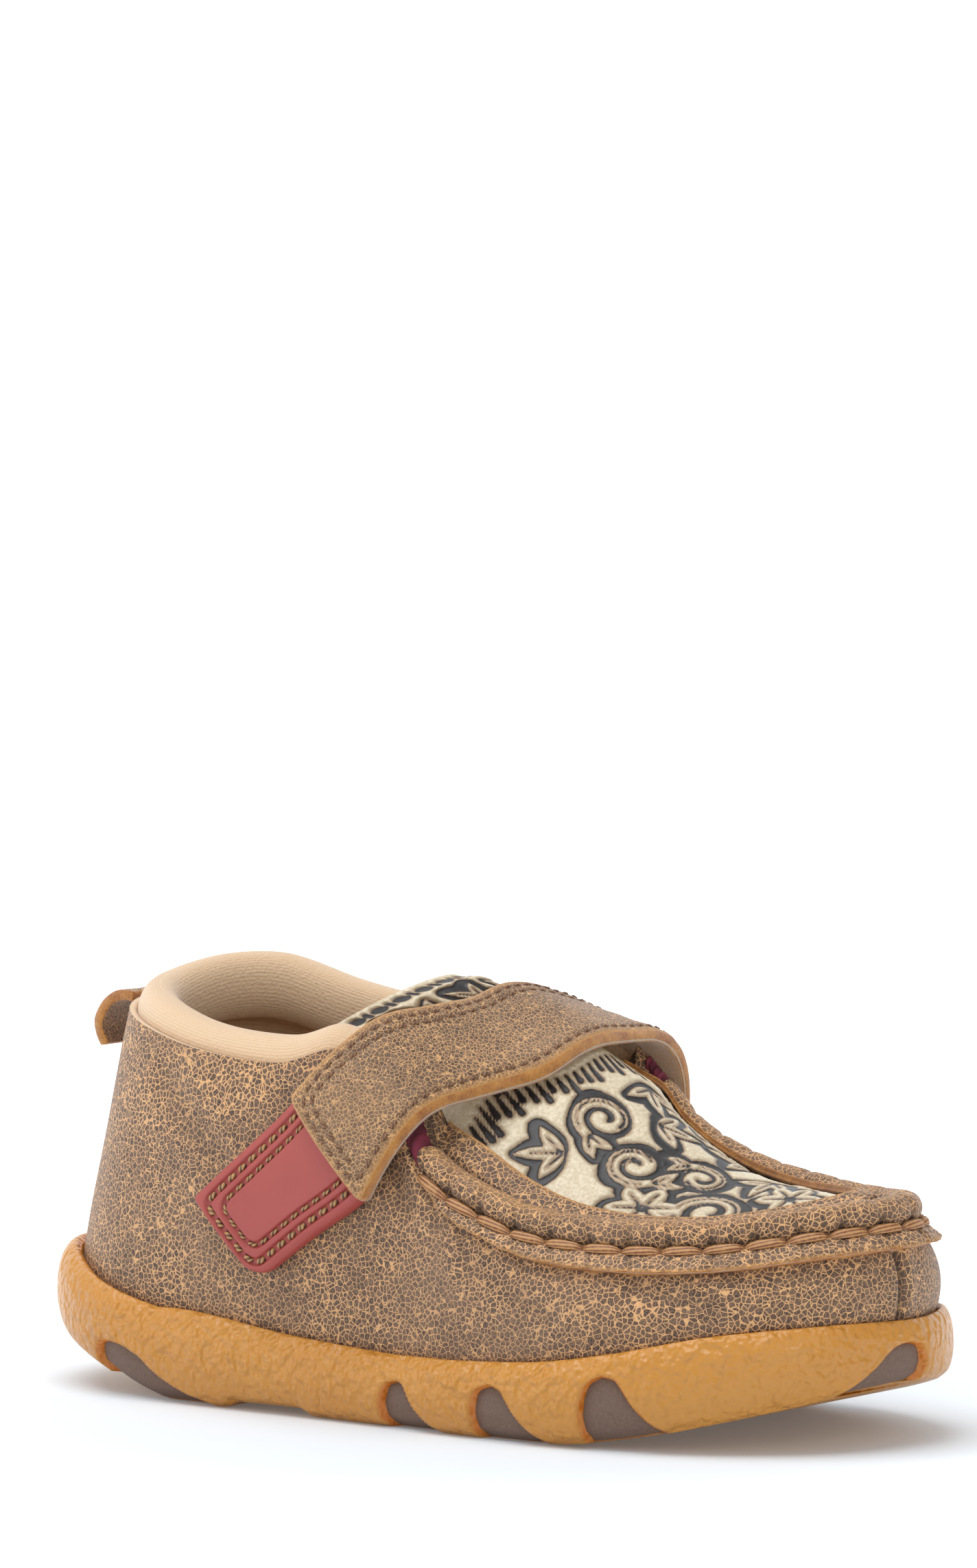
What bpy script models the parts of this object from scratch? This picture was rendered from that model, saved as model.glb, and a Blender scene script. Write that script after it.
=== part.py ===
"""A toddler's right driving moccasin, built piece by piece in metres.

+X runs to the toe, +Y to the medial side of the foot, +Z up from the floor.
The origin lies on the floor in the middle of the sole.
Ribs count along each side of the shoe, from 0 at the back of the heel to 12 at the front of the toe.
"""
import math
from collections import namedtuple

import bmesh
import bpy
from mathutils import Vector
from mathutils.bvhtree import BVHTree

# Driving sizes of the shoe
SOLE_LENGTH = 0.142
SOLE_WIDTH = 0.0615
UPPER_HEIGHT = 0.0540      # leather at the back of the heel, above the floor
GAP = 0.0003               # between pieces that meet

# Rubber sole
SIDE_HEIGHT = 0.0104       # sidewall at the waist
SPRING = 0.0078            # rise of toe and heel above the floor
FLOOR = 0.0045             # rubber under the foot
CUP_LIP = 0.0028           # rubber beside the upper
ARCH_RISE = 0.0010
ARCH_REAR = (-0.205, -0.185)  # of the sole's length, where the arch starts
ARCH_FRONT = (-0.110, -0.090)
WINDOW_DEPTH = 0.0017
WINDOW_REACH = 0.0030      # how far a window's cutter stands outside the sole
POD_RECESS = 0.0005

# Leather upper
WALL = 0.0018
WALL_LEAN = 1.35           # above 1 the walls stand upright before they lean in
BELLY = 0.0016             # how far the sides swell between sole and top edge
SEAM_LIP_OUT = 0.0020      # raw lip below the moccasin stitches
SEAM_LIP_DROP = 0.0027

# Roll and flat band around the plug
ROLL_HEIGHT = 0.0038
ROLL_WIDTH = 0.0036
BAND_WIDTH = 0.0080        # from the seam to the band's raw edge
BAND_THICKNESS = 0.0012
RIM_START = 7.10           # rib where the roll ends under the strap

# Plug and tongue, collar pad, insole
PLUG_THICKNESS = 0.0018
PLUG_TUCK = 0.0015         # plug edge inside the wall
TONGUE_ROOM = 0.0020       # between the collar's padding and the tongue
PAD_WIDTH = 0.0054
PAD_HEIGHT = 0.0096
PAD_RISE = 0.0035          # above the leather's edge
PAD_DIP = 0.0030           # lower at its ends, under the strap
PAD_END = 5.80             # rib where the padding ends
INSOLE_THICKNESS = 0.0030

# Strap, its rubber end and the pull tab
STRAP_THICKNESS = 0.0022
END_THICKNESS = 0.0021
CHART_HEIGHT = 0.0250      # height of the line that strap angles are measured around
PULL_THICKNESS = 0.0015
PULL_WIDTH = 0.0100
GORE_GAP = 0.06            # ribs between roll and gore
GORE_REACH = 0.34          # ribs that a gore runs back
GORE_SIZE = 0.85           # of the roll's size

# How finely the pieces are faceted
RING_STEPS = 34            # steps from heel to toe on each side
STRAP_STEPS = 26
STRAP_COLUMNS = 4
END_STEPS = 10
END_COLUMNS = 3
DETAIL = 3                 # finer steps when a strip is laid over the shoe
ARC_STEPS = 10
WALL_SHARES = (0.0, 0.16, 0.32, 0.48, 0.64)        # rings of the wall's outer face, up to its lip
LINING_SHARES = (1.0, 0.8, 0.6, 0.4, 0.2, 0.0)     # rings of its inner face, downward

TOE_RIB = 12
RIB_COUNT = 2 * TOE_RIB
FAR = 0.12                 # farther out than any piece

# Sole outline. Shares: along of SOLE_LENGTH, lateral and medial of SOLE_WIDTH,
# rise of SPRING, height of SIDE_HEIGHT, lip of CUP_LIP.
SoleRib = namedtuple("SoleRib", "name along lateral medial rise height lip")
SOLE_RIBS = (
    SoleRib("heel_back", -0.500, 0.000, 0.000, 1.04, 1.12, 1.30),
    SoleRib("heel_round", -0.465, -0.234, 0.234, 0.84, 1.24, 1.25),
    SoleRib("heel_side", -0.373, -0.382, 0.378, 0.42, 1.18, 1.10),
    SoleRib("quarter", -0.252, -0.422, 0.410, -0.10, 1.26, 1.00),
    SoleRib("waist", -0.113, -0.438, 0.398, 0.00, 1.06, 1.00),
    SoleRib("facing", 0.000, -0.456, 0.410, 0.00, 0.97, 1.00),
    SoleRib("instep", 0.050, -0.467, 0.425, 0.00, 0.97, 1.00),
    SoleRib("throat", 0.105, -0.481, 0.450, 0.00, 0.99, 1.00),
    SoleRib("ball_back", 0.185, -0.492, 0.474, 0.00, 1.06, 1.00),
    SoleRib("ball", 0.275, -0.479, 0.474, 0.14, 1.14, 1.00),
    SoleRib("vamp", 0.373, -0.408, 0.408, 0.50, 1.15, 0.90),
    SoleRib("toe_round", 0.461, -0.243, 0.262, 0.92, 0.97, 0.78),
    SoleRib("toe_front", 0.500, 0.012, 0.012, 1.12, 0.82, 0.75),
)

# Section of the sole's side. Shares: inset of CUP_LIP, level of the side's height.
SideRow = namedtuple("SideRow", "name inset level")
SOLE_SIDE = (
    SideRow("ground_edge", 0.95, 0.00),
    SideRow("bottom_round", 0.34, 0.12),
    SideRow("low_belly", 0.06, 0.32),
    SideRow("belly", 0.00, 0.54),
    SideRow("shoulder", 0.12, 0.78),
    SideRow("rim_round", 0.40, 0.94),
    SideRow("rim_top", 0.72, 1.00),
    SideRow("rim_inner", 1.00, 0.95),
)

# Top edge of the leather wall. Shares: x of SOLE_LENGTH, y of SOLE_WIDTH, z of UPPER_HEIGHT,
# belly of BELLY.
TopRib = namedtuple("TopRib", "name lateral_x lateral_y lateral_z medial_x medial_y medial_z belly")
TOP_RIBS = (
    TopRib("heel_back", -0.418, 0.000, 1.010, -0.418, 0.000, 1.010, -0.45),
    TopRib("heel_round", -0.395, -0.165, 0.988, -0.395, 0.172, 1.040, -0.40),
    TopRib("heel_side", -0.338, -0.282, 0.955, -0.338, 0.288, 1.036, 0.10),
    TopRib("quarter", -0.250, -0.340, 0.910, -0.250, 0.338, 0.975, 0.70),
    TopRib("waist", -0.150, -0.356, 0.892, -0.150, 0.350, 0.932, 0.65),
    TopRib("facing", -0.082, -0.352, 0.938, -0.060, 0.352, 0.940, 0.60),
    TopRib("instep", -0.018, -0.350, 0.930, 0.030, 0.352, 0.920, 0.60),
    TopRib("throat", 0.030, -0.382, 0.665, 0.090, 0.386, 0.770, 0.70),
    TopRib("ball_back", 0.130, -0.396, 0.535, 0.140, 0.386, 0.650, 0.85),
    TopRib("ball", 0.225, -0.380, 0.496, 0.225, 0.368, 0.570, 1.00),
    TopRib("vamp", 0.342, -0.314, 0.502, 0.342, 0.306, 0.535, 1.00),
    TopRib("toe_round", 0.432, -0.174, 0.538, 0.432, 0.190, 0.543, 0.95),
    TopRib("toe_front", 0.472, 0.025, 0.552, 0.472, 0.025, 0.552, 0.80),
)

# Lip below the moccasin stitches. Shares: drop of SEAM_LIP_DROP, out of SEAM_LIP_OUT.
LipRow = namedtuple("LipRow", "drop out")
SEAM_LIP = (LipRow(1.08, 0.00), LipRow(1.00, 0.92), LipRow(0.82, 1.00), LipRow(0.36, 0.72), LipRow(0.0, 0.0))

# Section of the roll. Shares: out of ROLL_WIDTH, up of ROLL_HEIGHT.
RollRow = namedtuple("RollRow", "out up")
ROLL_SHAPE = (
    RollRow(0.06, 0.0),
    RollRow(0.20, 0.42),
    RollRow(0.06, 0.80),
    RollRow(-0.40, 1.0),
    RollRow(-0.92, 0.86),
)
BAND_SHARES = (0.56, 0.78, 1.0)

# Crown of plug and tongue. Shares: x of SOLE_LENGTH, y of SOLE_WIDTH, z of UPPER_HEIGHT;
# a low bend makes a boxy cross section. Up to the throat the edges come from the wall.
CrownRow = namedtuple("CrownRow", "name rib x y z bend")
PLUG_ROWS = (
    CrownRow("toe_tip", 11.74, 0.441, 0.03, 0.580, 1.00),
    CrownRow("toe", 11.30, 0.420, 0.03, 0.592, 1.05),
    CrownRow("toe_round", 10.85, 0.391, 0.03, 0.602, 1.10),
    CrownRow("vamp", 10.25, 0.347, 0.04, 0.613, 1.15),
    CrownRow("ball_front", 9.60, 0.300, 0.05, 0.620, 1.15),
    CrownRow("ball", 9.00, 0.256, 0.06, 0.645, 1.15),
    CrownRow("ball_back", 8.35, 0.208, 0.06, 0.705, 1.10),
    CrownRow("instep", 7.80, 0.164, 0.06, 0.778, 1.05),
    CrownRow("throat", 7.30, 0.120, 0.06, 0.858, 0.95),
)
# Behind the throat edge_x, lateral_z and medial_z place the tongue's edges.
TongueRow = namedtuple("TongueRow", "name rib x y z bend edge_x lateral_z medial_z")
TONGUE_ROWS = (
    TongueRow("strap_front", 6.60, 0.078, 0.09, 0.930, 0.80, -0.015, 0.790, 0.890),
    TongueRow("strap_middle", 6.20, 0.036, 0.10, 0.993, 0.70, -0.062, 0.860, 0.930),
    TongueRow("strap_rear", 5.70, -0.010, 0.09, 1.052, 0.62, -0.105, 0.905, 0.950),
    TongueRow("beads", 5.20, -0.042, 0.05, 1.100, 0.68, -0.138, 0.925, 0.940),
    TongueRow("tongue_end", 4.70, -0.064, 0.04, 1.122, 0.72, -0.165, 0.935, 0.945),
)
PLUG_COLUMNS = 12

# Windows in the sole's side, in ribs from the steep edge to the end of the slope.
# Shares: height of the side's height.
BOTH_SIDES = ("lateral", "medial")
Window = namedtuple("Window", "name steep tail height sides")
WINDOWS = (
    Window("heel", 2.06, 3.25, 0.46, BOTH_SIDES),
    Window("waist", 5.07, 6.40, 0.66, BOTH_SIDES),
    Window("middle", 7.23, 8.22, 0.70, BOTH_SIDES),
    Window("ball", 8.73, 9.60, 0.76, BOTH_SIDES),
    Window("toe", 12.04, 11.15, 0.66, ("lateral",)),
)

# Outline of a window. Shares: level of its height, near and far of its width.
WindowRow = namedtuple("WindowRow", "level near far")
WINDOW_SHAPE = (
    WindowRow(0.00, 0.03, 1.00),
    WindowRow(0.22, 0.00, 0.82),
    WindowRow(0.48, 0.00, 0.66),
    WindowRow(0.74, 0.05, 0.54),
    WindowRow(0.92, 0.13, 0.44),
    WindowRow(1.00, 0.22, 0.34),
)
WINDOW_COLUMNS = 3
WINDOW_FOOT = (-0.30, 0.0)  # lowest levels of the cutters, of the side's height

# Path of the strap over the instep, from its medial end to its lateral end.
# Angles in degrees from straight up, lateral is positive. Shares: x of SOLE_LENGTH.
StrapRow = namedtuple("StrapRow", "name rear_angle rear_x front_angle front_x")
STRAP_ROWS = (
    StrapRow("medial_end", -92.0, -0.006, -88.0, 0.094),
    StrapRow("medial_side", -62.0, 0.004, -60.0, 0.096),
    StrapRow("medial_top", -31.0, 0.008, -32.0, 0.100),
    StrapRow("middle", 0.0, -0.002, 2.0, 0.095),
    StrapRow("lateral_top", 18.0, -0.010, 26.0, 0.070),
    StrapRow("lateral_round", 36.0, -0.034, 50.0, 0.040),
    StrapRow("lateral_end", 56.5, -0.094, 79.0, -0.004),
)
END_ROWS = (
    StrapRow("under_strap", 43.0, -0.066, 62.0, 0.006),
    StrapRow("strap_edge", 54.0, -0.108, 76.0, -0.016),
    StrapRow("middle", 67.0, -0.168, 90.0, -0.084),
    StrapRow("free_end", 81.0, -0.228, 104.5, -0.150),
)

# Side view of the pull tab, from the collar to its free end. Shares: back and down of PULL_WIDTH.
PullRow = namedtuple("PullRow", "back down")
PULL_ROWS = (
    PullRow(0.00, -0.02),
    PullRow(0.22, -0.03),
    PullRow(0.42, 0.08),
    PullRow(0.54, 0.26),
    PullRow(0.58, 0.44),
    PullRow(0.54, 0.60),
)

# Colours as the photograph shows them, in linear light
GUM = (0.60, 0.28, 0.06)
TAUPE = (0.17, 0.12, 0.10)
BROWN = (0.26, 0.17, 0.10)
IVORY = (0.75, 0.66, 0.48)
BEIGE = (0.77, 0.56, 0.38)
RED = (0.41, 0.08, 0.07)
BURGUNDY = (0.16, 0.02, 0.04)
SUEDE = (0.57, 0.25, 0.05)


def clear_scene():
    """Remove whatever the scene holds."""
    for thing in list(bpy.data.objects):
        bpy.data.objects.remove(thing, do_unlink=True)


def make_material(name, colour, roughness):
    """A plain principled material."""
    material = bpy.data.materials.new(name)
    material.use_nodes = True
    shader = material.node_tree.nodes["Principled BSDF"]
    shader.inputs["Base Color"].default_value = (*colour, 1.0)
    shader.inputs["Roughness"].default_value = roughness
    shader.inputs["Metallic"].default_value = 0.0
    material.diffuse_color = (*colour, 1.0)
    return material


def add_object(name, bm, material):
    """Turn a closed bmesh into a named object with its faces pointing out."""
    bmesh.ops.recalc_face_normals(bm, faces=bm.faces[:])
    mesh = bpy.data.meshes.new(name)
    bm.to_mesh(mesh)
    bm.free()
    mesh.materials.append(material)
    mesh.shade_smooth()
    mesh.set_sharp_from_angle(angle=math.radians(40))
    thing = bpy.data.objects.new(name, mesh)
    bpy.context.collection.objects.link(thing)
    return thing


def curve_value(before, start, end, after, share):
    """One Catmull-Rom step between start and end."""
    square = share * share
    cube = square * share
    return 0.5 * (
        2.0 * start
        + (end - before) * share
        + (2.0 * before - 5.0 * start + 4.0 * end - after) * square
        + (3.0 * start - before - 3.0 * end + after) * cube
    )


def closed_curve(knots, place):
    """A smooth closed curve through knots, each a tuple, at a place counted in knots."""
    first = math.floor(place)
    share = place - first
    four = [knots[(first + step) % len(knots)] for step in (-1, 0, 1, 2)]
    return [curve_value(*values, share) for values in zip(*four)]


def open_curve(knots, place):
    """A smooth open curve through knots, each a tuple, at a place counted in knots."""
    last = len(knots) - 1
    first = min(max(math.floor(place), 0), last - 1)
    share = place - first
    four = [knots[min(max(first + step, 0), last)] for step in (-1, 0, 1, 2)]
    return [curve_value(*values, share) for values in zip(*four)]


def around(table, lateral, medial):
    """Knots of a closed loop: down the lateral side to the toe and back up the medial side."""
    return [lateral(row) for row in table] + [medial(row) for row in table[-2:0:-1]]


SOLE_KNOTS = around(
    SOLE_RIBS,
    lambda row: (row.along, row.lateral, row.rise, row.height, row.lip),
    lambda row: (row.along, row.medial, row.rise, row.height, row.lip),
)
TOP_KNOTS = around(
    TOP_RIBS,
    lambda row: (row.lateral_x, row.lateral_y, row.lateral_z, row.belly),
    lambda row: (row.medial_x, row.medial_y, row.medial_z, row.belly),
)


def smooth_step(low, high, value):
    """0 below low, 1 above high, smooth between them."""
    share = min(max((value - low) / (high - low), 0.0), 1.0)
    return share * share * (3.0 - 2.0 * share)


def outline(rib):
    """Outermost line of the sole, seen from above."""
    along, across = closed_curve(SOLE_KNOTS, rib)[:2]
    return Vector((along * SOLE_LENGTH, across * SOLE_WIDTH, 0.0))


def outward(line, rib):
    """Level direction pointing out of a line that runs round the shoe."""
    step = 0.02
    along = line(rib + step) - line(rib - step)
    return Vector((along.y, -along.x, 0.0)).normalized()


def ground(rib):
    """Height of the sole's underside: flat at heel and ball, sprung at both ends."""
    return max(closed_curve(SOLE_KNOTS, rib)[2], 0.0) * SPRING


def arch(rib):
    """How far the sole's underside is hollowed at the arch."""
    along = closed_curve(SOLE_KNOTS, rib)[0]
    return ARCH_RISE * smooth_step(*ARCH_REAR, along) * (1.0 - smooth_step(*ARCH_FRONT, along))


def side_height(rib):
    """Height of the sole's side from its underside to its rim."""
    return closed_curve(SOLE_KNOTS, rib)[3] * SIDE_HEIGHT


def cup_lip(rib):
    """Thickness of the rubber beside the upper."""
    return closed_curve(SOLE_KNOTS, rib)[4] * CUP_LIP


def side_inset(rib, level):
    """How far the sole's side lies inside its outline at a level of its height."""
    rows = SOLE_SIDE
    for low, high in zip(rows, rows[1:]):
        if level <= high.level or high is rows[-2]:
            share = (level - low.level) / (high.level - low.level)
            return (low.inset + (high.inset - low.inset) * max(share, 0.0)) * cup_lip(rib)


def side_point(rib, level, inset):
    """A point by the sole's side, from its rib, its level and its distance inside the outline."""
    point = outline(rib) - outward(outline, rib) * inset
    point.z = ground(rib) + side_height(rib) * level + arch(rib) * max(1.0 - 3.0 * level, 0.0)
    return point


def even_ribs():
    """Ribs at even steps along the sole, the same ones on both sides, in order round the shoe."""
    fine = 40
    places = [step * TOE_RIB / (fine * TOE_RIB) for step in range(fine * TOE_RIB + 1)]
    lengths = [0.0]
    for start, end in zip(places, places[1:]):
        lengths.append(lengths[-1] + (outline(end) - outline(start)).length)
    half = []
    at = 0
    for step in range(RING_STEPS + 1):
        target = lengths[-1] * step / RING_STEPS
        while at < len(lengths) - 2 and lengths[at + 1] < target:
            at += 1
        share = (target - lengths[at]) / (lengths[at + 1] - lengths[at])
        half.append(places[at] + (places[at + 1] - places[at]) * share)
    return half + [RIB_COUNT - rib for rib in half[-2:0:-1]]


RING_RIBS = even_ribs()


def add_rows(bm, rows):
    """Vertices for a list of rows of points."""
    return [[bm.verts.new(point) for point in row] for row in rows]


def join_rows(bm, rows, round_row, round_all):
    """Faces between neighbouring rows, closing each row and the last to the first where asked."""
    pairs = list(zip(rows, rows[1:]))
    if round_all:
        pairs.append((rows[-1], rows[0]))
    for low, high in pairs:
        count = len(low)
        for place in range(count if round_row else count - 1):
            after = (place + 1) % count
            bm.faces.new((low[place], low[after], high[after], high[place]))


def zip_ring(bm, ring):
    """Close a ring whose first half mirrors its second half, with strips across the shoe."""
    count = len(ring)
    half = count // 2
    bm.faces.new((ring[0], ring[1], ring[count - 1]))
    for place in range(1, half - 1):
        bm.faces.new((ring[place], ring[place + 1], ring[count - place - 1], ring[count - place]))
    bm.faces.new((ring[half - 1], ring[half], ring[half + 1]))


def sweep_solid(sections):
    """A solid through sections, each a closed loop of points, with both ends closed."""
    bm = bmesh.new()
    rows = add_rows(bm, sections)
    join_rows(bm, rows, round_row=True, round_all=False)
    bm.faces.new(rows[0])
    bm.faces.new(rows[-1])
    return bm


def plate_solid(front, back):
    """A solid between two grids of points of the same shape."""
    bm = bmesh.new()
    sections = [near + far[::-1] for near, far in zip(front, back)]
    rows = add_rows(bm, sections)
    join_rows(bm, rows, round_row=True, round_all=False)
    width = len(front[0])
    for row in (rows[0], rows[-1]):
        for place in range(width - 1):
            bm.faces.new((row[place], row[place + 1], row[-place - 2], row[-place - 1]))
    return bm


def window_span(window, level):
    """Start and end of a window at a level of the side's height, as shares of its width."""
    height_share = min(max(level / window.height, 0.0), 1.0)
    for low, high in zip(WINDOW_SHAPE, WINDOW_SHAPE[1:]):
        if height_share <= high.level:
            share = (height_share - low.level) / (high.level - low.level)
            return low.near + (high.near - low.near) * share, low.far + (high.far - low.far) * share


def window_grid(window, side, inset, trim, low_levels):
    """Points over a window of the sole's side, trimmed on its edges, at a distance inside the side."""
    grid = []
    trim_share = trim / (outline(window.tail) - outline(window.steep)).length
    levels = list(low_levels)
    levels += [row.level * window.height for row in WINDOW_SHAPE[1:-1]]
    levels.append(window.height - trim / SIDE_HEIGHT)
    for level in levels:
        points = []
        near, far = window_span(window, level)
        near += trim_share
        far -= trim_share
        for column in range(WINDOW_COLUMNS + 1):
            share = near + (far - near) * column / WINDOW_COLUMNS
            place = window.steep + (window.tail - window.steep) * share
            rib = place if side == "lateral" else RIB_COUNT - place
            points.append(side_point(rib, level, side_inset(rib, max(level, 0.0)) + inset))
        grid.append(points)
    return grid


def build_windows():
    """The cutter of all windows, on both sides."""
    whole = bmesh.new()
    for window in WINDOWS:
        for side in window.sides:
            front = window_grid(window, side, -WINDOW_REACH, 0.0, WINDOW_FOOT)
            back = window_grid(window, side, WINDOW_DEPTH, 0.0, WINDOW_FOOT)
            piece = plate_solid(front, back)
            mesh = bpy.data.meshes.new("window")
            bmesh.ops.recalc_face_normals(piece, faces=piece.faces[:])
            piece.to_mesh(mesh)
            piece.free()
            whole.from_mesh(mesh)
            bpy.data.meshes.remove(mesh)
    cutter = add_object("sole_windows", whole, make_material("cutter", GUM, 0.5))
    cutter.hide_render = True
    cutter.display_type = "WIRE"
    return cutter


def build_sole(material, cutter):
    """The gum rubber cup sole, with windows cut into its side."""
    rows = []
    for side_row in SOLE_SIDE:
        rows.append([side_point(rib, side_row.level, side_row.inset * cup_lip(rib)) for rib in RING_RIBS])
    floor = []
    for rib in RING_RIBS:
        point = side_point(rib, 0.0, cup_lip(rib))
        point.z = ground(rib) + FLOOR
        floor.append(point)
    rows.append(floor)
    bm = bmesh.new()
    rings = add_rows(bm, rows)
    join_rows(bm, rings, round_row=True, round_all=False)
    zip_ring(bm, rings[0])
    zip_ring(bm, rings[-1])
    sole = add_object("sole", bm, material)
    cut = sole.modifiers.new("windows", "BOOLEAN")
    cut.object = cutter
    cut.operation = "DIFFERENCE"
    cut.solver = "EXACT"
    return sole


def build_pods(material):
    """The darker rubber pods that fill the windows."""
    for window in WINDOWS:
        for side in window.sides:
            floor = (GAP / SIDE_HEIGHT,)
            front = window_grid(window, side, POD_RECESS, GAP, floor)
            back = window_grid(window, side, WINDOW_DEPTH - GAP, GAP, floor)
            add_object(f"pod_{window.name}_{side}", plate_solid(front, back), material)


def wall_top(rib):
    """Top edge of the leather wall, on its outer face."""
    along, across, height, _ = closed_curve(TOP_KNOTS, rib)
    return Vector((along * SOLE_LENGTH, across * SOLE_WIDTH, height * UPPER_HEIGHT))


def wall_point(rib, share):
    """Outer face of the leather wall, from the sole's rim at share 0 to its top edge at share 1."""
    foot = side_point(rib, 0.90, cup_lip(rib) + GAP)
    top = wall_top(rib)
    belly = closed_curve(TOP_KNOTS, rib)[3] * BELLY
    point = foot.lerp(top, share ** WALL_LEAN)
    point.z = foot.z + (top.z - foot.z) * share
    return point + outward(outline, rib) * belly * math.sin(math.pi * share)


def wall_normal(rib, share):
    """Direction out of the leather wall."""
    step = 0.02
    low = max(share - step, 0.0)
    high = min(share + step, 1.0)
    up = wall_point(rib, high) - wall_point(rib, low)
    along = wall_point(rib + step, share) - wall_point(rib - step, share)
    return along.cross(up).normalized()


def wall_height(rib):
    """Height of the leather wall above the sole's rim."""
    return wall_point(rib, 1.0).z - wall_point(rib, 0.0).z


def lip_amount(rib):
    """1 where the moccasin seam's lip is full, 0 behind the throat."""
    place = min(rib, RIB_COUNT - rib)
    return smooth_step(6.95, 7.60, place)


def sunk_point(rib, depth):
    """Foot of the wall inside the sole's cup, at a depth inside the wall's outer face."""
    point = side_point(rib, 0.0, cup_lip(rib) + GAP + depth)
    point.z = ground(rib) + FLOOR + GAP
    return point


def build_upper(material):
    """The leather wall: one hollow band, open at the collar, at the plug and underneath."""
    outer = [[sunk_point(rib, 0.0) for rib in RING_RIBS]]
    for share in WALL_SHARES:
        outer.append([wall_point(rib, share) for rib in RING_RIBS])
    for row in SEAM_LIP:
        ring = []
        for rib in RING_RIBS:
            share = 1.0 - row.drop * SEAM_LIP_DROP / wall_height(rib)
            out = outward(wall_top, rib) * row.out * SEAM_LIP_OUT * lip_amount(rib)
            ring.append(wall_point(rib, share) + out)
        outer.append(ring)
    inner = []
    for share in LINING_SHARES:
        inner.append([wall_point(rib, share) - wall_normal(rib, share) * WALL for rib in RING_RIBS])
    inner.append([sunk_point(rib, WALL) for rib in RING_RIBS])
    bm = bmesh.new()
    rings = add_rows(bm, outer + inner)
    join_rows(bm, rings, round_row=True, round_all=True)
    return add_object("upper", bm, material)


def plug_section(row):
    """Edges, crown and bend of one row of the plug, tucked inside the wall."""
    inset = WALL + PLUG_TUCK
    lateral, medial = [wall_top(rib) - outward(wall_top, rib) * inset for rib in (row.rib, RIB_COUNT - row.rib)]
    crown = (row.x * SOLE_LENGTH, row.y * SOLE_WIDTH, row.z * UPPER_HEIGHT)
    return (*lateral, *medial, *crown, row.bend)


def tongue_section(row):
    """Edges, crown and bend of one row of the tongue, inside the collar's padding."""
    inset = WALL + PAD_WIDTH + TONGUE_ROOM
    x = row.edge_x * SOLE_LENGTH
    lateral = (x, wall_top(row.rib).y + inset, row.lateral_z * UPPER_HEIGHT)
    medial = (x, wall_top(RIB_COUNT - row.rib).y - inset, row.medial_z * UPPER_HEIGHT)
    crown = (row.x * SOLE_LENGTH, row.y * SOLE_WIDTH, row.z * UPPER_HEIGHT)
    return (*lateral, *medial, *crown, row.bend)


PLUG_SECTIONS = [plug_section(row) for row in PLUG_ROWS] + [tongue_section(row) for row in TONGUE_ROWS]


def plug_point(place, share):
    """Top face of plug and tongue: place counts rows from the toe, share runs lateral to medial."""
    values = open_curve(PLUG_SECTIONS, place)
    lateral = Vector(values[0:3])
    medial = Vector(values[3:6])
    crown = Vector(values[6:9])
    middle = (lateral + medial) / 2.0
    swell = max(math.cos(math.pi * (share - 0.5)), 0.0) ** values[9]
    return lateral.lerp(medial, share) + (crown - middle) * swell


def plug_normal(place, share):
    """Direction up out of the plug."""
    step = 0.02
    last = len(PLUG_SECTIONS) - 1
    along = plug_point(min(place + step, last), share) - plug_point(max(place - step, 0.0), share)
    low = max(share - step, 0.001)
    high = min(share + step, 0.999)
    across = plug_point(place, high) - plug_point(place, low)
    return across.cross(along).normalized()


def build_plug(material):
    """The plug of the vamp and the tongue that continues it, one curved sheet."""
    last = len(PLUG_SECTIONS) - 1
    steps = 2 * last
    top = []
    under = []
    for step in range(steps + 1):
        place = last * step / steps
        shares = [0.5 - 0.5 * math.cos(math.pi * column / PLUG_COLUMNS) for column in range(PLUG_COLUMNS + 1)]
        row = [plug_point(place, share) for share in shares]
        normals = [plug_normal(place, share) for share in shares]
        top.append(row)
        under.append([point - normal * PLUG_THICKNESS for point, normal in zip(row, normals)])
    return add_object("plug_tongue", plate_solid(top, under), material)


def skin_tree(objects):
    """A search tree over the faces of several objects."""
    points = []
    faces = []
    for thing in objects:
        base = len(points)
        points.extend(vertex.co.copy() for vertex in thing.data.vertices)
        faces.extend([base + index for index in face.vertices] for face in thing.data.polygons)
    return BVHTree.FromPolygons(points, faces)


def height_over(tree, x, y, fallback):
    """Height of the surface below a point high over the shoe."""
    hit = tree.ray_cast(Vector((x, y, FAR)), Vector((0.0, 0.0, -1.0)))[0]
    return hit.z if hit else fallback


def seam_point(rib):
    """Top edge of the leather wall as its facets cut it."""
    after = next(place for place, ring_rib in enumerate(RING_RIBS) if ring_rib >= rib)
    low, high = RING_RIBS[after - 1], RING_RIBS[after]
    return wall_top(low).lerp(wall_top(high), (rib - low) / (high - low))


def roll_points(rib, size):
    """Outer points of the roll above the seam, from its outer foot over its crest."""
    seam = seam_point(rib)
    out = outward(wall_top, rib)
    points = []
    for row in ROLL_SHAPE:
        point = seam + out * row.out * ROLL_WIDTH * size
        point.z = seam.z + GAP + row.up * (ROLL_HEIGHT - GAP) * size
        points.append(point)
    return points


def tuck_point(rib):
    """Inner foot of the roll, between the wall and the plug's edge."""
    point = seam_point(rib) - outward(wall_top, rib) * (WALL + 0.5 * PLUG_TUCK)
    point.z += GAP
    return point


def rim_section(rib, tree):
    """Section of the roll and the band that covers the plug's edge."""
    seam = seam_point(rib)
    out = outward(wall_top, rib)
    band = []
    for share in BAND_SHARES:
        point = seam - out * share * BAND_WIDTH
        point.z = height_over(tree, point.x, point.y, seam.z) + 2.0 * GAP
        band.append(point)
    over = [point + Vector((0.0, 0.0, BAND_THICKNESS)) for point in band]
    return roll_points(rib, 1.0) + over + band[::-1] + [tuck_point(rib)]


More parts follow.
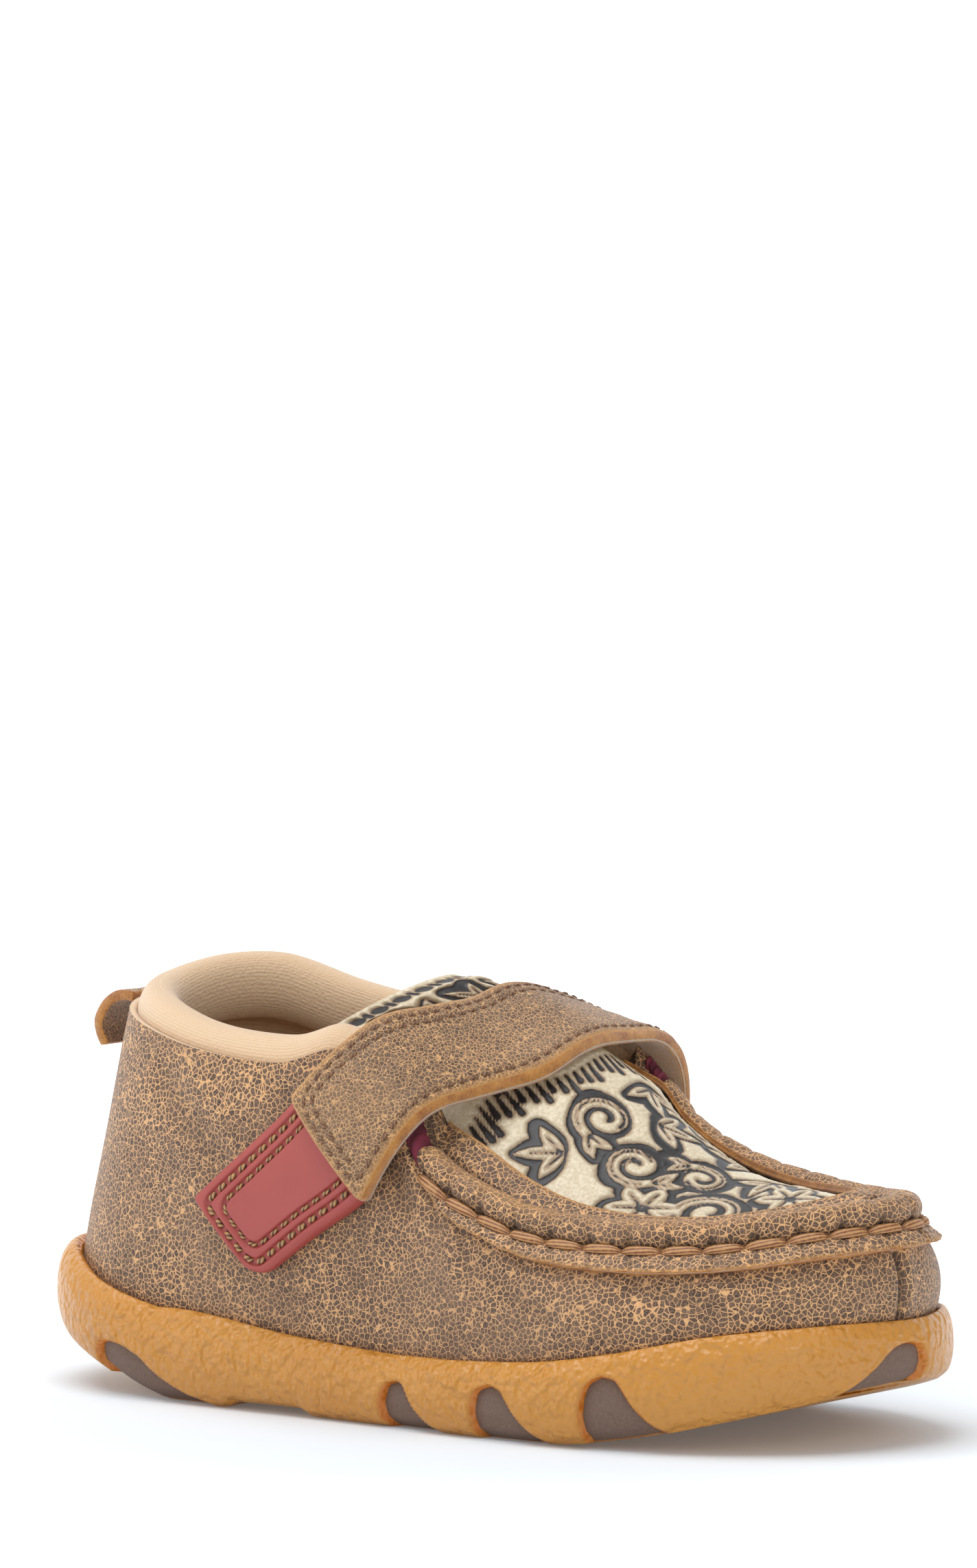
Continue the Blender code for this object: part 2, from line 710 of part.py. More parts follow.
def build_rim(material, plug):
    """The raised roll of the moccasin seam with the flat band inside it."""
    tree = skin_tree([plug])
    first = RIM_START
    last = RIB_COUNT - RIM_START
    ribs = [first] + [rib for rib in RING_RIBS if first + 0.1 < rib < last - 0.1] + [last]
    return add_object("apron_rim", sweep_solid([rim_section(rib, tree) for rib in ribs]), material)


def build_gores(material):
    """Small elastic gores behind the two ends of the roll."""
    steps = 3
    gores = []
    for side in BOTH_SIDES:
        sections = []
        for step in range(steps + 1):
            place = RIM_START - GORE_GAP - GORE_REACH * step / steps
            rib = place if side == "lateral" else RIB_COUNT - place
            sections.append(roll_points(rib, GORE_SIZE) + [tuck_point(rib)])
        gores.append(add_object(f"gore_{side}", sweep_solid(sections), material))
    return gores


def pad_section(rib):
    """Oval section of the collar's padding, inside the leather's top edge and lower at its ends."""
    out = outward(wall_top, rib)
    centre = wall_top(rib) - out * (WALL + GAP + PAD_WIDTH / 2.0)
    centre.z += PAD_RISE - PAD_DIP * smooth_step(PAD_END - 1.1, PAD_END, abs(rib)) - PAD_HEIGHT / 2.0
    points = []
    for step in range(ARC_STEPS):
        angle = 2.0 * math.pi * step / ARC_STEPS
        point = centre + out * math.cos(angle) * PAD_WIDTH / 2.0
        point.z += math.sin(angle) * PAD_HEIGHT / 2.0
        points.append(point)
    return points


def build_pad(material):
    """The knitted padding round the collar."""
    ribs = [rib - RIB_COUNT if rib > TOE_RIB else rib for rib in RING_RIBS]
    ribs = sorted(rib for rib in ribs if -PAD_END <= rib <= PAD_END)
    return add_object("collar_pad", sweep_solid([pad_section(rib) for rib in ribs]), material)


def build_insole(material):
    """The footbed, a flat sheet in the cup."""
    bottom = []
    top = []
    for rib in RING_RIBS:
        point = side_point(rib, 0.0, cup_lip(rib) + WALL + 3.0 * GAP)
        point.z = ground(rib) + FLOOR + GAP
        bottom.append(point)
        top.append(point + Vector((0.0, 0.0, INSOLE_THICKNESS)))
    bm = bmesh.new()
    rings = add_rows(bm, [bottom, top])
    join_rows(bm, rings, round_row=True, round_all=False)
    zip_ring(bm, rings[0])
    zip_ring(bm, rings[1])
    return add_object("insole", bm, material)


def chart_direction(angle):
    """Direction away from the chart's line at an angle from straight up."""
    return Vector((0.0, -math.sin(angle), math.cos(angle)))


def chart_radius(tree, x, angle):
    """Distance from the chart's line to the outermost surface of the shoe."""
    away = chart_direction(angle)
    start = Vector((x, 0.0, CHART_HEIGHT)) + away * FAR
    hit = tree.ray_cast(start, -away)[0]
    return (hit - Vector((x, 0.0, CHART_HEIGHT))).length if hit else 0.0


def taut_radii(angles, radii):
    """Radii of a band stretched over points given by angle and radius, without hollows."""
    points = [(radius * math.sin(angle), radius * math.cos(angle)) for angle, radius in zip(angles, radii)]
    hull = []
    for place in range(len(points)):
        while len(hull) >= 2:
            start, middle = points[hull[-2]], points[hull[-1]]
            turn = (middle[0] - start[0]) * (points[place][1] - start[1])
            turn -= (middle[1] - start[1]) * (points[place][0] - start[0])
            if turn < 0.0:
                break
            hull.pop()
        hull.append(place)
    result = list(radii)
    for low, high in zip(hull, hull[1:]):
        for place in range(low + 1, high):
            first, second = points[low], points[high]
            sine, cosine = math.sin(angles[place]), math.cos(angles[place])
            run = (second[0] - first[0], second[1] - first[1])
            cross = sine * run[1] - cosine * run[0]
            result[place] = (first[0] * run[1] - first[1] * run[0]) / cross
    return result


def chart_grid(rows, steps, columns):
    """Angles and x of a strip over the shoe, as lists for each column of its width."""
    knots = [
        (math.radians(row.rear_angle), row.rear_x, math.radians(row.front_angle), row.front_x)
        for row in rows
    ]
    strips = []
    for column in range(columns + 1):
        share = column / columns
        strip = []
        for step in range(steps + 1):
            rear_angle, rear_x, front_angle, front_x = open_curve(knots, (len(rows) - 1) * step / steps)
            angle = rear_angle + (front_angle - rear_angle) * share
            x = (rear_x + (front_x - rear_x) * share) * SOLE_LENGTH
            strip.append((angle, x))
        strips.append(strip)
    return strips


def edge_radii(values):
    """Radii at the two edges of a straight line across a strip that clears the values on it."""
    count = len(values) - 1
    middle = count / 2.0
    best = (-FAR, 0.0)
    for low in range(math.ceil(middle)):
        for high in range(math.floor(middle) + 1, count + 1):
            slope = (values[high] - values[low]) / (high - low)
            best = max(best, (values[low] + slope * (middle - low), slope))
    centre, slope = best
    return centre - slope * middle, centre + slope * middle


def eased(values, reach):
    """Values without sharp steps, nowhere below the ones given."""
    last = len(values) - 1
    spans = [(max(place - reach, 0), min(place + reach, last) + 1) for place in range(last + 1)]
    wide = [max(values[start:end]) for start, end in spans]
    return [sum(wide[start:end]) / (end - start) for start, end in spans]


def strip_radii(rows, steps, columns, tree):
    """Taut radii of a strip, straight across its width and clear of all that it covers."""
    strips = chart_grid(rows, steps * DETAIL, columns * DETAIL)
    bridged = []
    for strip in strips:
        angles = [angle for angle, _ in strip]
        bridged.append(taut_radii(angles, [chart_radius(tree, x, angle) for angle, x in strip]))
    edges = zip(*[edge_radii(values) for values in zip(*bridged)])
    taut = []
    for strip, edge in zip((strips[0], strips[-1]), edges):
        taut.append(eased(taut_radii([angle for angle, _ in strip], edge), DETAIL)[::DETAIL])
    shares = [column / columns for column in range(columns + 1)]
    return [[rear * (1.0 - share) + front * share for rear, front in zip(*taut)] for share in shares]


def strip_solid(strips, radii, thickness):
    """A solid strip whose inner face lies GAP outside the given radii."""
    inner = []
    outer = []
    for step in range(len(strips[0])):
        near = []
        far = []
        for strip, column in zip(strips, radii):
            angle, x = strip[step]
            line = Vector((x, 0.0, CHART_HEIGHT))
            near.append(line + chart_direction(angle) * (column[step] + GAP))
            far.append(line + chart_direction(angle) * (column[step] + GAP + thickness))
        inner.append(near)
        outer.append(far)
    return plate_solid(outer, inner)


def build_strap_end(material, body):
    """The rubber end sewn under the strap."""
    strips = chart_grid(END_ROWS, END_STEPS, END_COLUMNS)
    radii = strip_radii(END_ROWS, END_STEPS, END_COLUMNS, skin_tree(body))
    return add_object("strap_end", strip_solid(strips, radii, END_THICKNESS), material)


def build_strap(material, body, strap_end):
    """The leather strap over the instep, lying on the shoe and on its rubber end."""
    strips = chart_grid(STRAP_ROWS, STRAP_STEPS, STRAP_COLUMNS)
    radii = strip_radii(STRAP_ROWS, STRAP_STEPS, STRAP_COLUMNS, skin_tree(body + [strap_end]))
    return add_object("strap", strip_solid(strips, radii, STRAP_THICKNESS), material)


def build_pull_tab(material):
    """The leather tab at the top of the heel, arched back and down."""
    root = wall_top(0.0)
    steps = 10
    front = []
    back = []
    knots = [(row.back, row.down) for row in PULL_ROWS]
    for step in range(steps + 1):
        place = (len(knots) - 1) * step / steps
        near = open_curve(knots, max(place - 0.05, 0.0))
        far = open_curve(knots, min(place + 0.05, len(knots) - 1))
        along = Vector((near[0] - far[0], 0.0, near[1] - far[1])).normalized()
        normal = Vector((along.z, 0.0, -along.x))
        behind, down = open_curve(knots, place)
        x = root.x - GAP - behind * PULL_WIDTH
        point = Vector((x, 0.0, root.z - PULL_THICKNESS - down * PULL_WIDTH))
        taper = 1.0 - 0.25 * smooth_step(0.6, 1.0, step / steps)
        widths = [PULL_WIDTH * taper * (column / 4.0 - 0.5) for column in range(5)]
        front.append([point + Vector((0.0, width, 0.0)) for width in widths])
        back.append([point + normal * PULL_THICKNESS + Vector((0.0, width, 0.0)) for width in widths])
    return add_object("pull_tab", plate_solid(front, back), material)


def main():
    """Build every piece of the shoe."""
    clear_scene()
    brown = make_material("brown_leather", BROWN, 0.7)
    cutter = build_windows()
    build_sole(make_material("gum_rubber", GUM, 0.55), cutter)
    build_pods(make_material("pod_rubber", TAUPE, 0.7))
    upper = build_upper(brown)
    plug = build_plug(make_material("tooled_leather", IVORY, 0.5))
    rim = build_rim(make_material("rim_leather", BROWN, 0.7), plug)
    gores = build_gores(make_material("gore_elastic", BURGUNDY, 0.8))
    pad = build_pad(make_material("collar_knit", BEIGE, 0.9))
    build_insole(make_material("footbed", BEIGE, 0.9))
    body = [upper, plug, rim, pad] + gores
    strap_end = build_strap_end(make_material("strap_end_rubber", RED, 0.5), body)
    build_strap(make_material("strap_leather", BROWN, 0.7), body, strap_end)
    build_pull_tab(make_material("tab_leather", SUEDE, 0.8))


main()
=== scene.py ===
# %% [markdown]
# # A toddler's driving moccasin
# This lesson dresses a finished CAD model of a small leather shoe. The model is already in the scene,
# in metres, toe along +X, medial side along +Y, floor at Z = 0. Nothing of it is moved: every form below is
# worked out again from the shoe's own sizes, only much finer, and laid where the plain solid is.
# %% Load the frame
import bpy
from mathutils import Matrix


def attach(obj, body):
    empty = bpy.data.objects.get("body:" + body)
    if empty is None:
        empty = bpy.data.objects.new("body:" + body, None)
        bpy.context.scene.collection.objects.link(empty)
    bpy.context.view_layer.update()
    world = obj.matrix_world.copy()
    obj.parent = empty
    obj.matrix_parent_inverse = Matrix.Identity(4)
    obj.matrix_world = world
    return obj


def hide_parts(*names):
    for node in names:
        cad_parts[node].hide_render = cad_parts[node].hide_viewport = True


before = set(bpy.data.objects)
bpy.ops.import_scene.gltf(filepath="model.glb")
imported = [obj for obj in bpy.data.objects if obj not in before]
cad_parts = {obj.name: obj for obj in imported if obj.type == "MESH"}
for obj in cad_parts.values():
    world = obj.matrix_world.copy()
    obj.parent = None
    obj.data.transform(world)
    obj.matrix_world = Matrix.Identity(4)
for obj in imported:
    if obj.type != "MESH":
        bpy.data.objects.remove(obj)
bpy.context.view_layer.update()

import math
from collections import namedtuple

import bmesh
import bpy
import numpy as np
from mathutils import Vector
from mathutils.bvhtree import BVHTree

print("nodes:", ", ".join(sorted(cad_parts)))

# %% [markdown]
# ## Camera
# The shoe is seen from its lateral side, a little from behind the toe line and from just above the floor,
# through a long lens. A long lens keeps the sole's line calm. The place of the camera follows from one
# fixed point: the middle of the shoe at instep height, and where it lies in the picture.
# %% Place the camera
PICTURE = (1424.0, 2285.0)
PIXELS_PER_METRE = 10500.0           # at the fixed point
FIXED_POINT = np.array((0.0, 0.0, 0.030))
FIXED_PIXEL = (720.0, 1733.0)
CAMERA_DISTANCE = 1.25
AZIMUTH = math.radians(36.0)
ELEVATION = math.radians(6.5)
SENSOR = 36.0

level = math.cos(ELEVATION)
back = np.array((math.sin(AZIMUTH) * level, -math.cos(AZIMUTH) * level, math.sin(ELEVATION)))
right = np.array((math.cos(AZIMUTH), math.sin(AZIMUTH), 0.0))
up = np.cross(back, right)
camera_place = FIXED_POINT + back * CAMERA_DISTANCE
aim = FIXED_POINT + right * (PICTURE[0] / 2.0 - FIXED_PIXEL[0]) / PIXELS_PER_METRE
aim = aim - up * (PICTURE[1] / 2.0 - FIXED_PIXEL[1]) / PIXELS_PER_METRE
sight = aim - camera_place
camera = bpy.data.objects.new("camera", bpy.data.cameras.new("camera"))
camera.data.sensor_fit = "VERTICAL"
camera.data.sensor_height = SENSOR
camera.data.lens = PIXELS_PER_METRE * np.linalg.norm(sight) * SENSOR / PICTURE[1]
camera.data.clip_start = 0.05
camera.location = camera_place
camera.rotation_euler = Vector(sight).to_track_quat("-Z", "Y").to_euler()
bpy.context.collection.objects.link(camera)
bpy.context.scene.camera = camera
print("lens in mm:", round(camera.data.lens, 1))

# %% [markdown]
# ## Nodes and colours
# Every material below is a small node tree. One function adds a node, sets what it is told and links
# what it is given, so that a material reads as a list of what it is made of. Colours are picked as
# sRGB hex values, as a designer would note them, and turned into linear light once.
# %% Node and colour helpers
def light(hexa):
    """Linear colour of an sRGB hex value."""
    values = [int(hexa[place:place + 2], 16) / 255.0 for place in (1, 3, 5)]
    return (*[v / 12.92 if v <= 0.04045 else ((v + 0.055) / 1.055) ** 2.4 for v in values], 1.0)


def node(tree, kind, inputs=None, **settings):
    """Add a node: settings are its properties, inputs are values, hex colours or sockets to link."""
    made = tree.nodes.new(kind)
    for name, value in settings.items():
        setattr(made, name, value)
    for name, value in (inputs or {}).items():
        if isinstance(value, bpy.types.NodeSocket):
            tree.links.new(value, made.inputs[name])
        else:
            made.inputs[name].default_value = light(value) if isinstance(value, str) else value
    return made


def start_material(name, roughness, ior=1.5, **constants):
    """A material with its shader; constants are set on the shader's own sockets."""
    material = bpy.data.materials.new(name)
    material.use_nodes = True
    shader = material.node_tree.nodes["Principled BSDF"]
    for socket, value in {"Roughness": roughness, "IOR": ior, **constants}.items():
        shader.inputs[socket.replace("_", " ")].default_value = value
    return material, material.node_tree, shader


def bump(tree, shader, height, distance, strength, below=None):
    """Relief of a height socket, in metres, over the relief below it."""
    inputs = {"Height": height, "Distance": distance, "Strength": strength}
    if below:
        inputs["Normal"] = below.outputs["Normal"]
    made = node(tree, "ShaderNodeBump", inputs)
    tree.links.new(made.outputs["Normal"], shader.inputs["Normal"])
    return made


def per_mm(size):
    """Texture scale whose features are a size in millimetres wide, in metres of the object."""
    return 1000.0 / size


def place_of(tree):
    """Place in the object's own space."""
    return node(tree, "ShaderNodeTexCoord").outputs["Object"]


def kept(tree, name):
    """A value that was kept on the mesh's points."""
    return node(tree, "ShaderNodeAttribute", attribute_name=name).outputs["Fac"]


def noise(tree, place, size, detail=2.0, roughness=0.5):
    """Soft noise whose features are a size in millimetres wide."""
    inputs = {"Vector": place, "Scale": per_mm(size), "Detail": detail, "Roughness": roughness}
    return node(tree, "ShaderNodeTexNoise", inputs).outputs["Fac"]


def blend(tree, share, first, second):
    """A colour between two, which are hex values or sockets."""
    return node(tree, "ShaderNodeMix", {"Factor": share, "A": first, "B": second}, data_type="RGBA").outputs["Result"]


def maths(tree, operation, first, second=0.0):
    """Arithmetic on values or sockets."""
    return node(tree, "ShaderNodeMath", {0: first, 1: second}, operation=operation).outputs["Value"]


def spread(tree, value, low, high, new_low=0.0, new_high=1.0, kind="LINEAR"):
    """A value moved from one range to another and held at its ends."""
    inputs = {"Value": value, "From Min": low, "From Max": high, "To Min": new_low, "To Max": new_high}
    return node(tree, "ShaderNodeMapRange", inputs, interpolation_type=kind).outputs["Result"]


def warped(tree, place, size, amount):
    """The place moved a little by noise, so that cells drawn there lose their straight sides."""
    drift = node(tree, "ShaderNodeTexNoise", {"Vector": place, "Scale": per_mm(size), "Detail": 2.0}).outputs["Color"]
    shift = node(tree, "ShaderNodeVectorMath", {0: drift, 1: (amount,) * 3}, operation="MULTIPLY").outputs["Vector"]
    return node(tree, "ShaderNodeVectorMath", {0: place, 1: shift}, operation="ADD").outputs["Vector"]


# %% [markdown]
# ## Studio
# A product picture like this is lit by one large soft box overhead, white cards at the sides and a
# white sweep that runs from the floor up behind the shoe, so that no horizon shows. The sweep is one
# bent sheet. It glows as painted light: weakly near the shoe, which paints a darker pool on the floor
# around it, and fully further out, so that it reads white. Large lights give the waxed leather its broad, soft shine.
# %% Sweep, lights and world
WORLD_LIGHT = 0.48
PAPER_GLOW = (0.08, 0.80)            # painted light, the sweep's own glow: at the shoe, and far from it
GLOW_REACH = (0.06, 0.16)            # metres from the shoe where that glow starts and is full
SWEEP_WIDTH = 6.0
SWEEP_FRONT = -3.0
SWEEP_BEND = 2.2
SWEEP_RADIUS = 0.8
SWEEP_TOP = 3.2
SWEEP_STEPS = 12                     # of its bend
SWEEP_DROP = 0.0001                  # below the shoe's floor
sweep_line = [(SWEEP_FRONT, 0.0), (SWEEP_BEND, 0.0)]
for step in range(1, SWEEP_STEPS + 1):
    turn = math.pi / 2.0 * step / SWEEP_STEPS
    sweep_line.append((SWEEP_BEND + SWEEP_RADIUS * math.sin(turn), SWEEP_RADIUS * (1.0 - math.cos(turn))))
sweep_line.append((SWEEP_BEND + SWEEP_RADIUS, SWEEP_TOP))
level_back = np.array((-back[0], -back[1], 0.0)) / math.hypot(back[0], back[1])
sweep_points = []
for away, height in sweep_line:
    for side in (-0.5, 0.5):
        place = level_back * away + right * side * SWEEP_WIDTH
        sweep_points.append((place[0], place[1], height - SWEEP_DROP))
sweep_faces = [(2 * row, 2 * row + 1, 2 * row + 3, 2 * row + 2) for row in range(len(sweep_line) - 1)]
sweep_mesh = bpy.data.meshes.new("studio_sweep")
sweep_mesh.from_pydata(sweep_points, [], sweep_faces)
sweep_mesh.shade_smooth()
sweep = bpy.data.objects.new("studio_sweep", sweep_mesh)
bpy.context.collection.objects.link(sweep)
paper, tree, shader = start_material("glowing_background_paper", 0.9, Emission_Color=(1.0, 1.0, 1.0, 1.0))
grain = node(tree, "ShaderNodeTexNoise", {"Scale": per_mm(40.0)}).outputs["Fac"]
# Blue-white paper: the tint makes the orange light that the sole bounces into its shadow read grey.
tree.links.new(blend(tree, grain, "#DCE3EA", "#DEE5EB"), shader.inputs["Base Color"])
# Painted light: the paper glows, weakly at the shoe so that a darker pool is painted round it, and fully further out.
distance = node(tree, "ShaderNodeVectorMath", {0: place_of(tree)}, operation="LENGTH").outputs["Value"]
glow = spread(tree, distance, *GLOW_REACH, *PAPER_GLOW, "SMOOTHSTEP")
tree.links.new(glow, shader.inputs["Emission Strength"])
sweep_mesh.materials.append(paper)

SoftBox = namedtuple("SoftBox", "name place size watts")
SOFT_BOXES = (
    SoftBox("overhead", (-0.15, -0.25, 1.30), 1.1, 14.0),
    SoftBox("left_card", (-1.10, -0.90, 0.55), 0.8, 3.5),
    SoftBox("right_card", (1.15, -0.70, 0.50), 0.8, 2.2),
)
for box in SOFT_BOXES:
    lamp = bpy.data.lights.new(box.name, "AREA")
    lamp.size = box.size
    lamp.energy = box.watts
    thing = bpy.data.objects.new(box.name, lamp)
    thing.location = box.place
    sight_line = Vector(FIXED_POINT - np.array(box.place))
    thing.rotation_euler = sight_line.to_track_quat("-Z", "Y").to_euler()
    bpy.context.collection.objects.link(thing)
world = bpy.data.worlds.new("studio")
world.use_nodes = True
world.node_tree.nodes["Background"].inputs["Color"].default_value = (1.0, 1.0, 1.0, 1.0)
world.node_tree.nodes["Background"].inputs["Strength"].default_value = WORLD_LIGHT
bpy.context.scene.world = world
bpy.context.scene.view_settings.view_transform = "Standard"
print("soft boxes:", len(SOFT_BOXES))

# %% [markdown]
# ## The last
# A shoemaker starts from a last. Here the last is a set of short tables: thirteen ribs along each side of
# the shoe, from the back of the heel (0) to the front of the toe (12), and on round the medial side to 24.
# The same tables shaped the CAD solids. NumPy reads them for thousands of points at once, and smooth
# Catmull-Rom curves run through them.
# %% Sizes and tables of the last
SOLE_LENGTH = 0.142
SOLE_WIDTH = 0.0615
UPPER_HEIGHT = 0.0540
GAP = 0.0003
SIDE_HEIGHT = 0.0104
SPRING = 0.0078
FLOOR = 0.0045
CUP_LIP = 0.0028
ARCH_RISE = 0.0010
ARCH_SPAN = (-0.205, -0.185, -0.110, -0.090)   # shares of SOLE_LENGTH where the arch rises and ends
WINDOW_DEPTH = 0.0017
POD_RECESS = 0.0009
WALL = 0.0018
WALL_LEAN = 1.35
BELLY = 0.0016
SEAM_LIP_OUT = 0.0020
SEAM_LIP_DROP = 0.0027
ROLL_HEIGHT = 0.0038
ROLL_WIDTH = 0.0036
BAND_WIDTH = 0.0080
BAND_THICKNESS = 0.0012
RIM_START = 7.10
PLUG_THICKNESS = 0.0018
PLUG_TUCK = 0.0015
TONGUE_ROOM = 0.0020
PAD_WIDTH = 0.0054
PAD_HEIGHT = 0.0096
PAD_RISE = 0.0035
PAD_DIP = 0.0030
PAD_END = 5.80
INSOLE_THICKNESS = 0.0030
STRAP_THICKNESS = 0.0022
END_THICKNESS = 0.0021
CHART_HEIGHT = 0.0250
PULL_THICKNESS = 0.0015
PULL_WIDTH = 0.0100
GORE_GAP = 0.06
GORE_REACH = 0.34
TOE_RIB = 12
RIB_COUNT = 24
FAR = 0.12                           # outside the shoe, where rays start
FINE_STEPS = 2401                    # of a line that is measured

# Ribs of the sole: along, lateral, medial, rise, height, lip
SOLE_RIBS = (
    (-0.500, 0.000, 0.000, 1.04, 1.12, 1.30),
    (-0.465, -0.234, 0.234, 0.84, 1.24, 1.25),
    (-0.373, -0.382, 0.378, 0.42, 1.18, 1.10),
    (-0.252, -0.422, 0.410, -0.10, 1.26, 1.00),
    (-0.113, -0.438, 0.398, 0.00, 1.06, 1.00),
    (0.000, -0.456, 0.410, 0.00, 0.97, 1.00),
    (0.050, -0.467, 0.425, 0.00, 0.97, 1.00),
    (0.105, -0.481, 0.450, 0.00, 0.99, 1.00),
    (0.185, -0.492, 0.474, 0.00, 1.06, 1.00),
    (0.275, -0.479, 0.474, 0.14, 1.14, 1.00),
    (0.373, -0.408, 0.408, 0.50, 1.15, 0.90),
    (0.461, -0.243, 0.262, 0.92, 0.97, 0.78),
    (0.500, 0.012, 0.012, 1.12, 0.82, 0.75),
)
# Section of the sole's side: inset, level
SOLE_SIDE = (
    (0.95, 0.0), (0.34, 0.12), (0.06, 0.32), (0.0, 0.54), (0.12, 0.78), (0.40, 0.94), (0.72, 1.0), (1.0, 0.95),
)
# Top edge of the leather: lateral x, y, z, medial x, y, z, belly
TOP_RIBS = (
    (-0.418, 0.000, 1.010, -0.418, 0.000, 1.010, -0.45),
    (-0.395, -0.165, 0.988, -0.395, 0.172, 1.040, -0.40),
    (-0.338, -0.282, 0.955, -0.338, 0.288, 1.036, 0.10),
    (-0.250, -0.340, 0.910, -0.250, 0.338, 0.975, 0.70),
    (-0.150, -0.356, 0.892, -0.150, 0.350, 0.932, 0.65),
    (-0.082, -0.352, 0.938, -0.060, 0.352, 0.940, 0.60),
    (-0.018, -0.350, 0.930, 0.030, 0.352, 0.920, 0.60),
    (0.030, -0.382, 0.665, 0.090, 0.386, 0.770, 0.70),
    (0.130, -0.396, 0.535, 0.140, 0.386, 0.650, 0.85),
    (0.225, -0.380, 0.496, 0.225, 0.368, 0.570, 1.00),
    (0.342, -0.314, 0.502, 0.342, 0.306, 0.535, 1.00),
    (0.432, -0.174, 0.538, 0.432, 0.190, 0.543, 0.95),
    (0.472, 0.025, 0.552, 0.472, 0.025, 0.552, 0.80),
)
sole_knots = [(a, la, r, h, p) for a, la, _, r, h, p in SOLE_RIBS]
sole_knots += [(a, me, r, h, p) for a, _, me, r, h, p in SOLE_RIBS[-2:0:-1]]
top_knots = [row[0:3] + row[6:] for row in TOP_RIBS] + [row[3:] for row in TOP_RIBS[-2:0:-1]]
print("ribs round the shoe:", len(sole_knots), len(top_knots))


# %% [markdown]
# Each function of the last takes a rib, or an array of ribs, and gives points. Points keep x, y and z in
# their last axis, so that a whole grid of them is one array.
# %% Functions of the last
def curve(knots, places, closed=False):
    """Catmull-Rom curve through rows of values, at places counted in rows."""
    knots = np.asarray(knots, float)
    places = np.asarray(places, float)
    last = len(knots) - 1
    first = np.floor(places).astype(int)
    if not closed:
        first = np.clip(first, 0, last - 1)
    share = (places - first)[..., None]

    def row(step):
        return knots[(first + step) % len(knots)] if closed else knots[np.clip(first + step, 0, last)]

    before, start, end, after = row(-1), row(0), row(1), row(2)
    result = 2.0 * start + (end - before) * share
    result = result + (2.0 * before - 5.0 * start + 4.0 * end - after) * share ** 2
    return 0.5 * (result + (3.0 * start - before - 3.0 * end + after) * share ** 3)


def smooth_step(low, high, value):
    """0 below low, 1 above high, smooth between them."""
    share = np.clip((value - low) / (high - low), 0.0, 1.0)
    return share * share * (3.0 - 2.0 * share)


def unit(vectors):
    """Vectors at length 1."""
    return vectors / np.maximum(np.linalg.norm(vectors, axis=-1, keepdims=True), 1e-12)


def stacked(*parts):
    """Points from their x, y and z."""
    return np.stack(np.broadcast_arrays(*parts), axis=-1).astype(float)


def summed(steps):
    """Running total of steps, from 0."""
    return np.concatenate([np.zeros_like(steps[:1]), np.cumsum(steps, axis=0)])


def lengths_along(line):
    """Distance along a line of every point of it."""
    return summed(np.linalg.norm(np.diff(line, axis=0), axis=-1))


def bell(distance, width):
    """1 where the distance is 0, falling softly beside it."""
    return np.exp(-(distance / width) ** 2)


def through(knots, count):
    """Even places on a curve through rows of values."""
    return curve(knots, np.linspace(0.0, len(knots) - 1, count))


def sole_values(rib):
    """Along, across, rise, height and lip of the sole at a rib."""
    return np.moveaxis(curve(sole_knots, rib, closed=True), -1, 0)


def outline(rib):
    """Outermost line of the sole, seen from above."""
    along, across = sole_values(rib)[:2]
    return stacked(along * SOLE_LENGTH, across * SOLE_WIDTH, 0.0)


def outward(line, rib, step=0.02):
    """Level direction pointing out of a line that runs round the shoe."""
    along = line(rib + step) - line(rib - step)
    return unit(stacked(along[..., 1], -along[..., 0], 0.0))


def ground(rib):
    """Height of the sole's underside, sprung at toe and heel."""
    return np.maximum(sole_values(rib)[2], 0.0) * SPRING


def side_height(rib):
    """Height of the sole's side."""
    return sole_values(rib)[3] * SIDE_HEIGHT


def cup_lip(rib):
    """Thickness of the rubber beside the upper."""
    return sole_values(rib)[4] * CUP_LIP


def side_point(rib, level, inset):
    """A point by the sole's side, from rib, level and distance inside the outline."""
    along = sole_values(rib)[0]
    arch = smooth_step(*ARCH_SPAN[:2], along) * (1.0 - smooth_step(*ARCH_SPAN[2:], along)) * ARCH_RISE
    point = outline(rib) - outward(outline, rib) * np.asarray(inset)[..., None]
    point[..., 2] = ground(rib) + side_height(rib) * level + arch * np.maximum(1.0 - 3.0 * level, 0.0)
    return point


def floor_line(rib, inset, rise=GAP):
    """A line near the sole's inner floor, at a distance inside the rubber beside it."""
    line = side_point(rib, 0.0, cup_lip(rib) + inset)
    line[:, 2] = ground(rib) + FLOOR + rise
    return line


def wall_top(rib):
    """Top edge of the leather wall, on its outer face."""
    along, across, height = np.moveaxis(curve(top_knots, rib, closed=True), -1, 0)[:3]
    return stacked(along * SOLE_LENGTH, across * SOLE_WIDTH, height * UPPER_HEIGHT)


def wall_point(rib, share):
    """Outer face of the leather, from the sole's rim at share 0 to its top edge at share 1."""
    foot = side_point(rib, 0.90, cup_lip(rib) + GAP)
    top = wall_top(rib)
    belly = curve(top_knots, rib, closed=True)[..., 3] * BELLY
    share = np.asarray(share, float)
    point = foot + (top - foot) * (share ** WALL_LEAN)[..., None]
    point[..., 2] = foot[..., 2] + (top[..., 2] - foot[..., 2]) * share
    return point + outward(outline, rib) * (belly * np.sin(np.pi * share))[..., None]


def wall_normal(rib, share, step=0.02):
    """Direction out of the leather wall."""
    high, low = np.minimum(share + step, 1.0), np.maximum(share - step, 0.0)
    along = wall_point(rib + step, share) - wall_point(rib - step, share)
    return unit(np.cross(along, wall_point(rib, high) - wall_point(rib, low)))


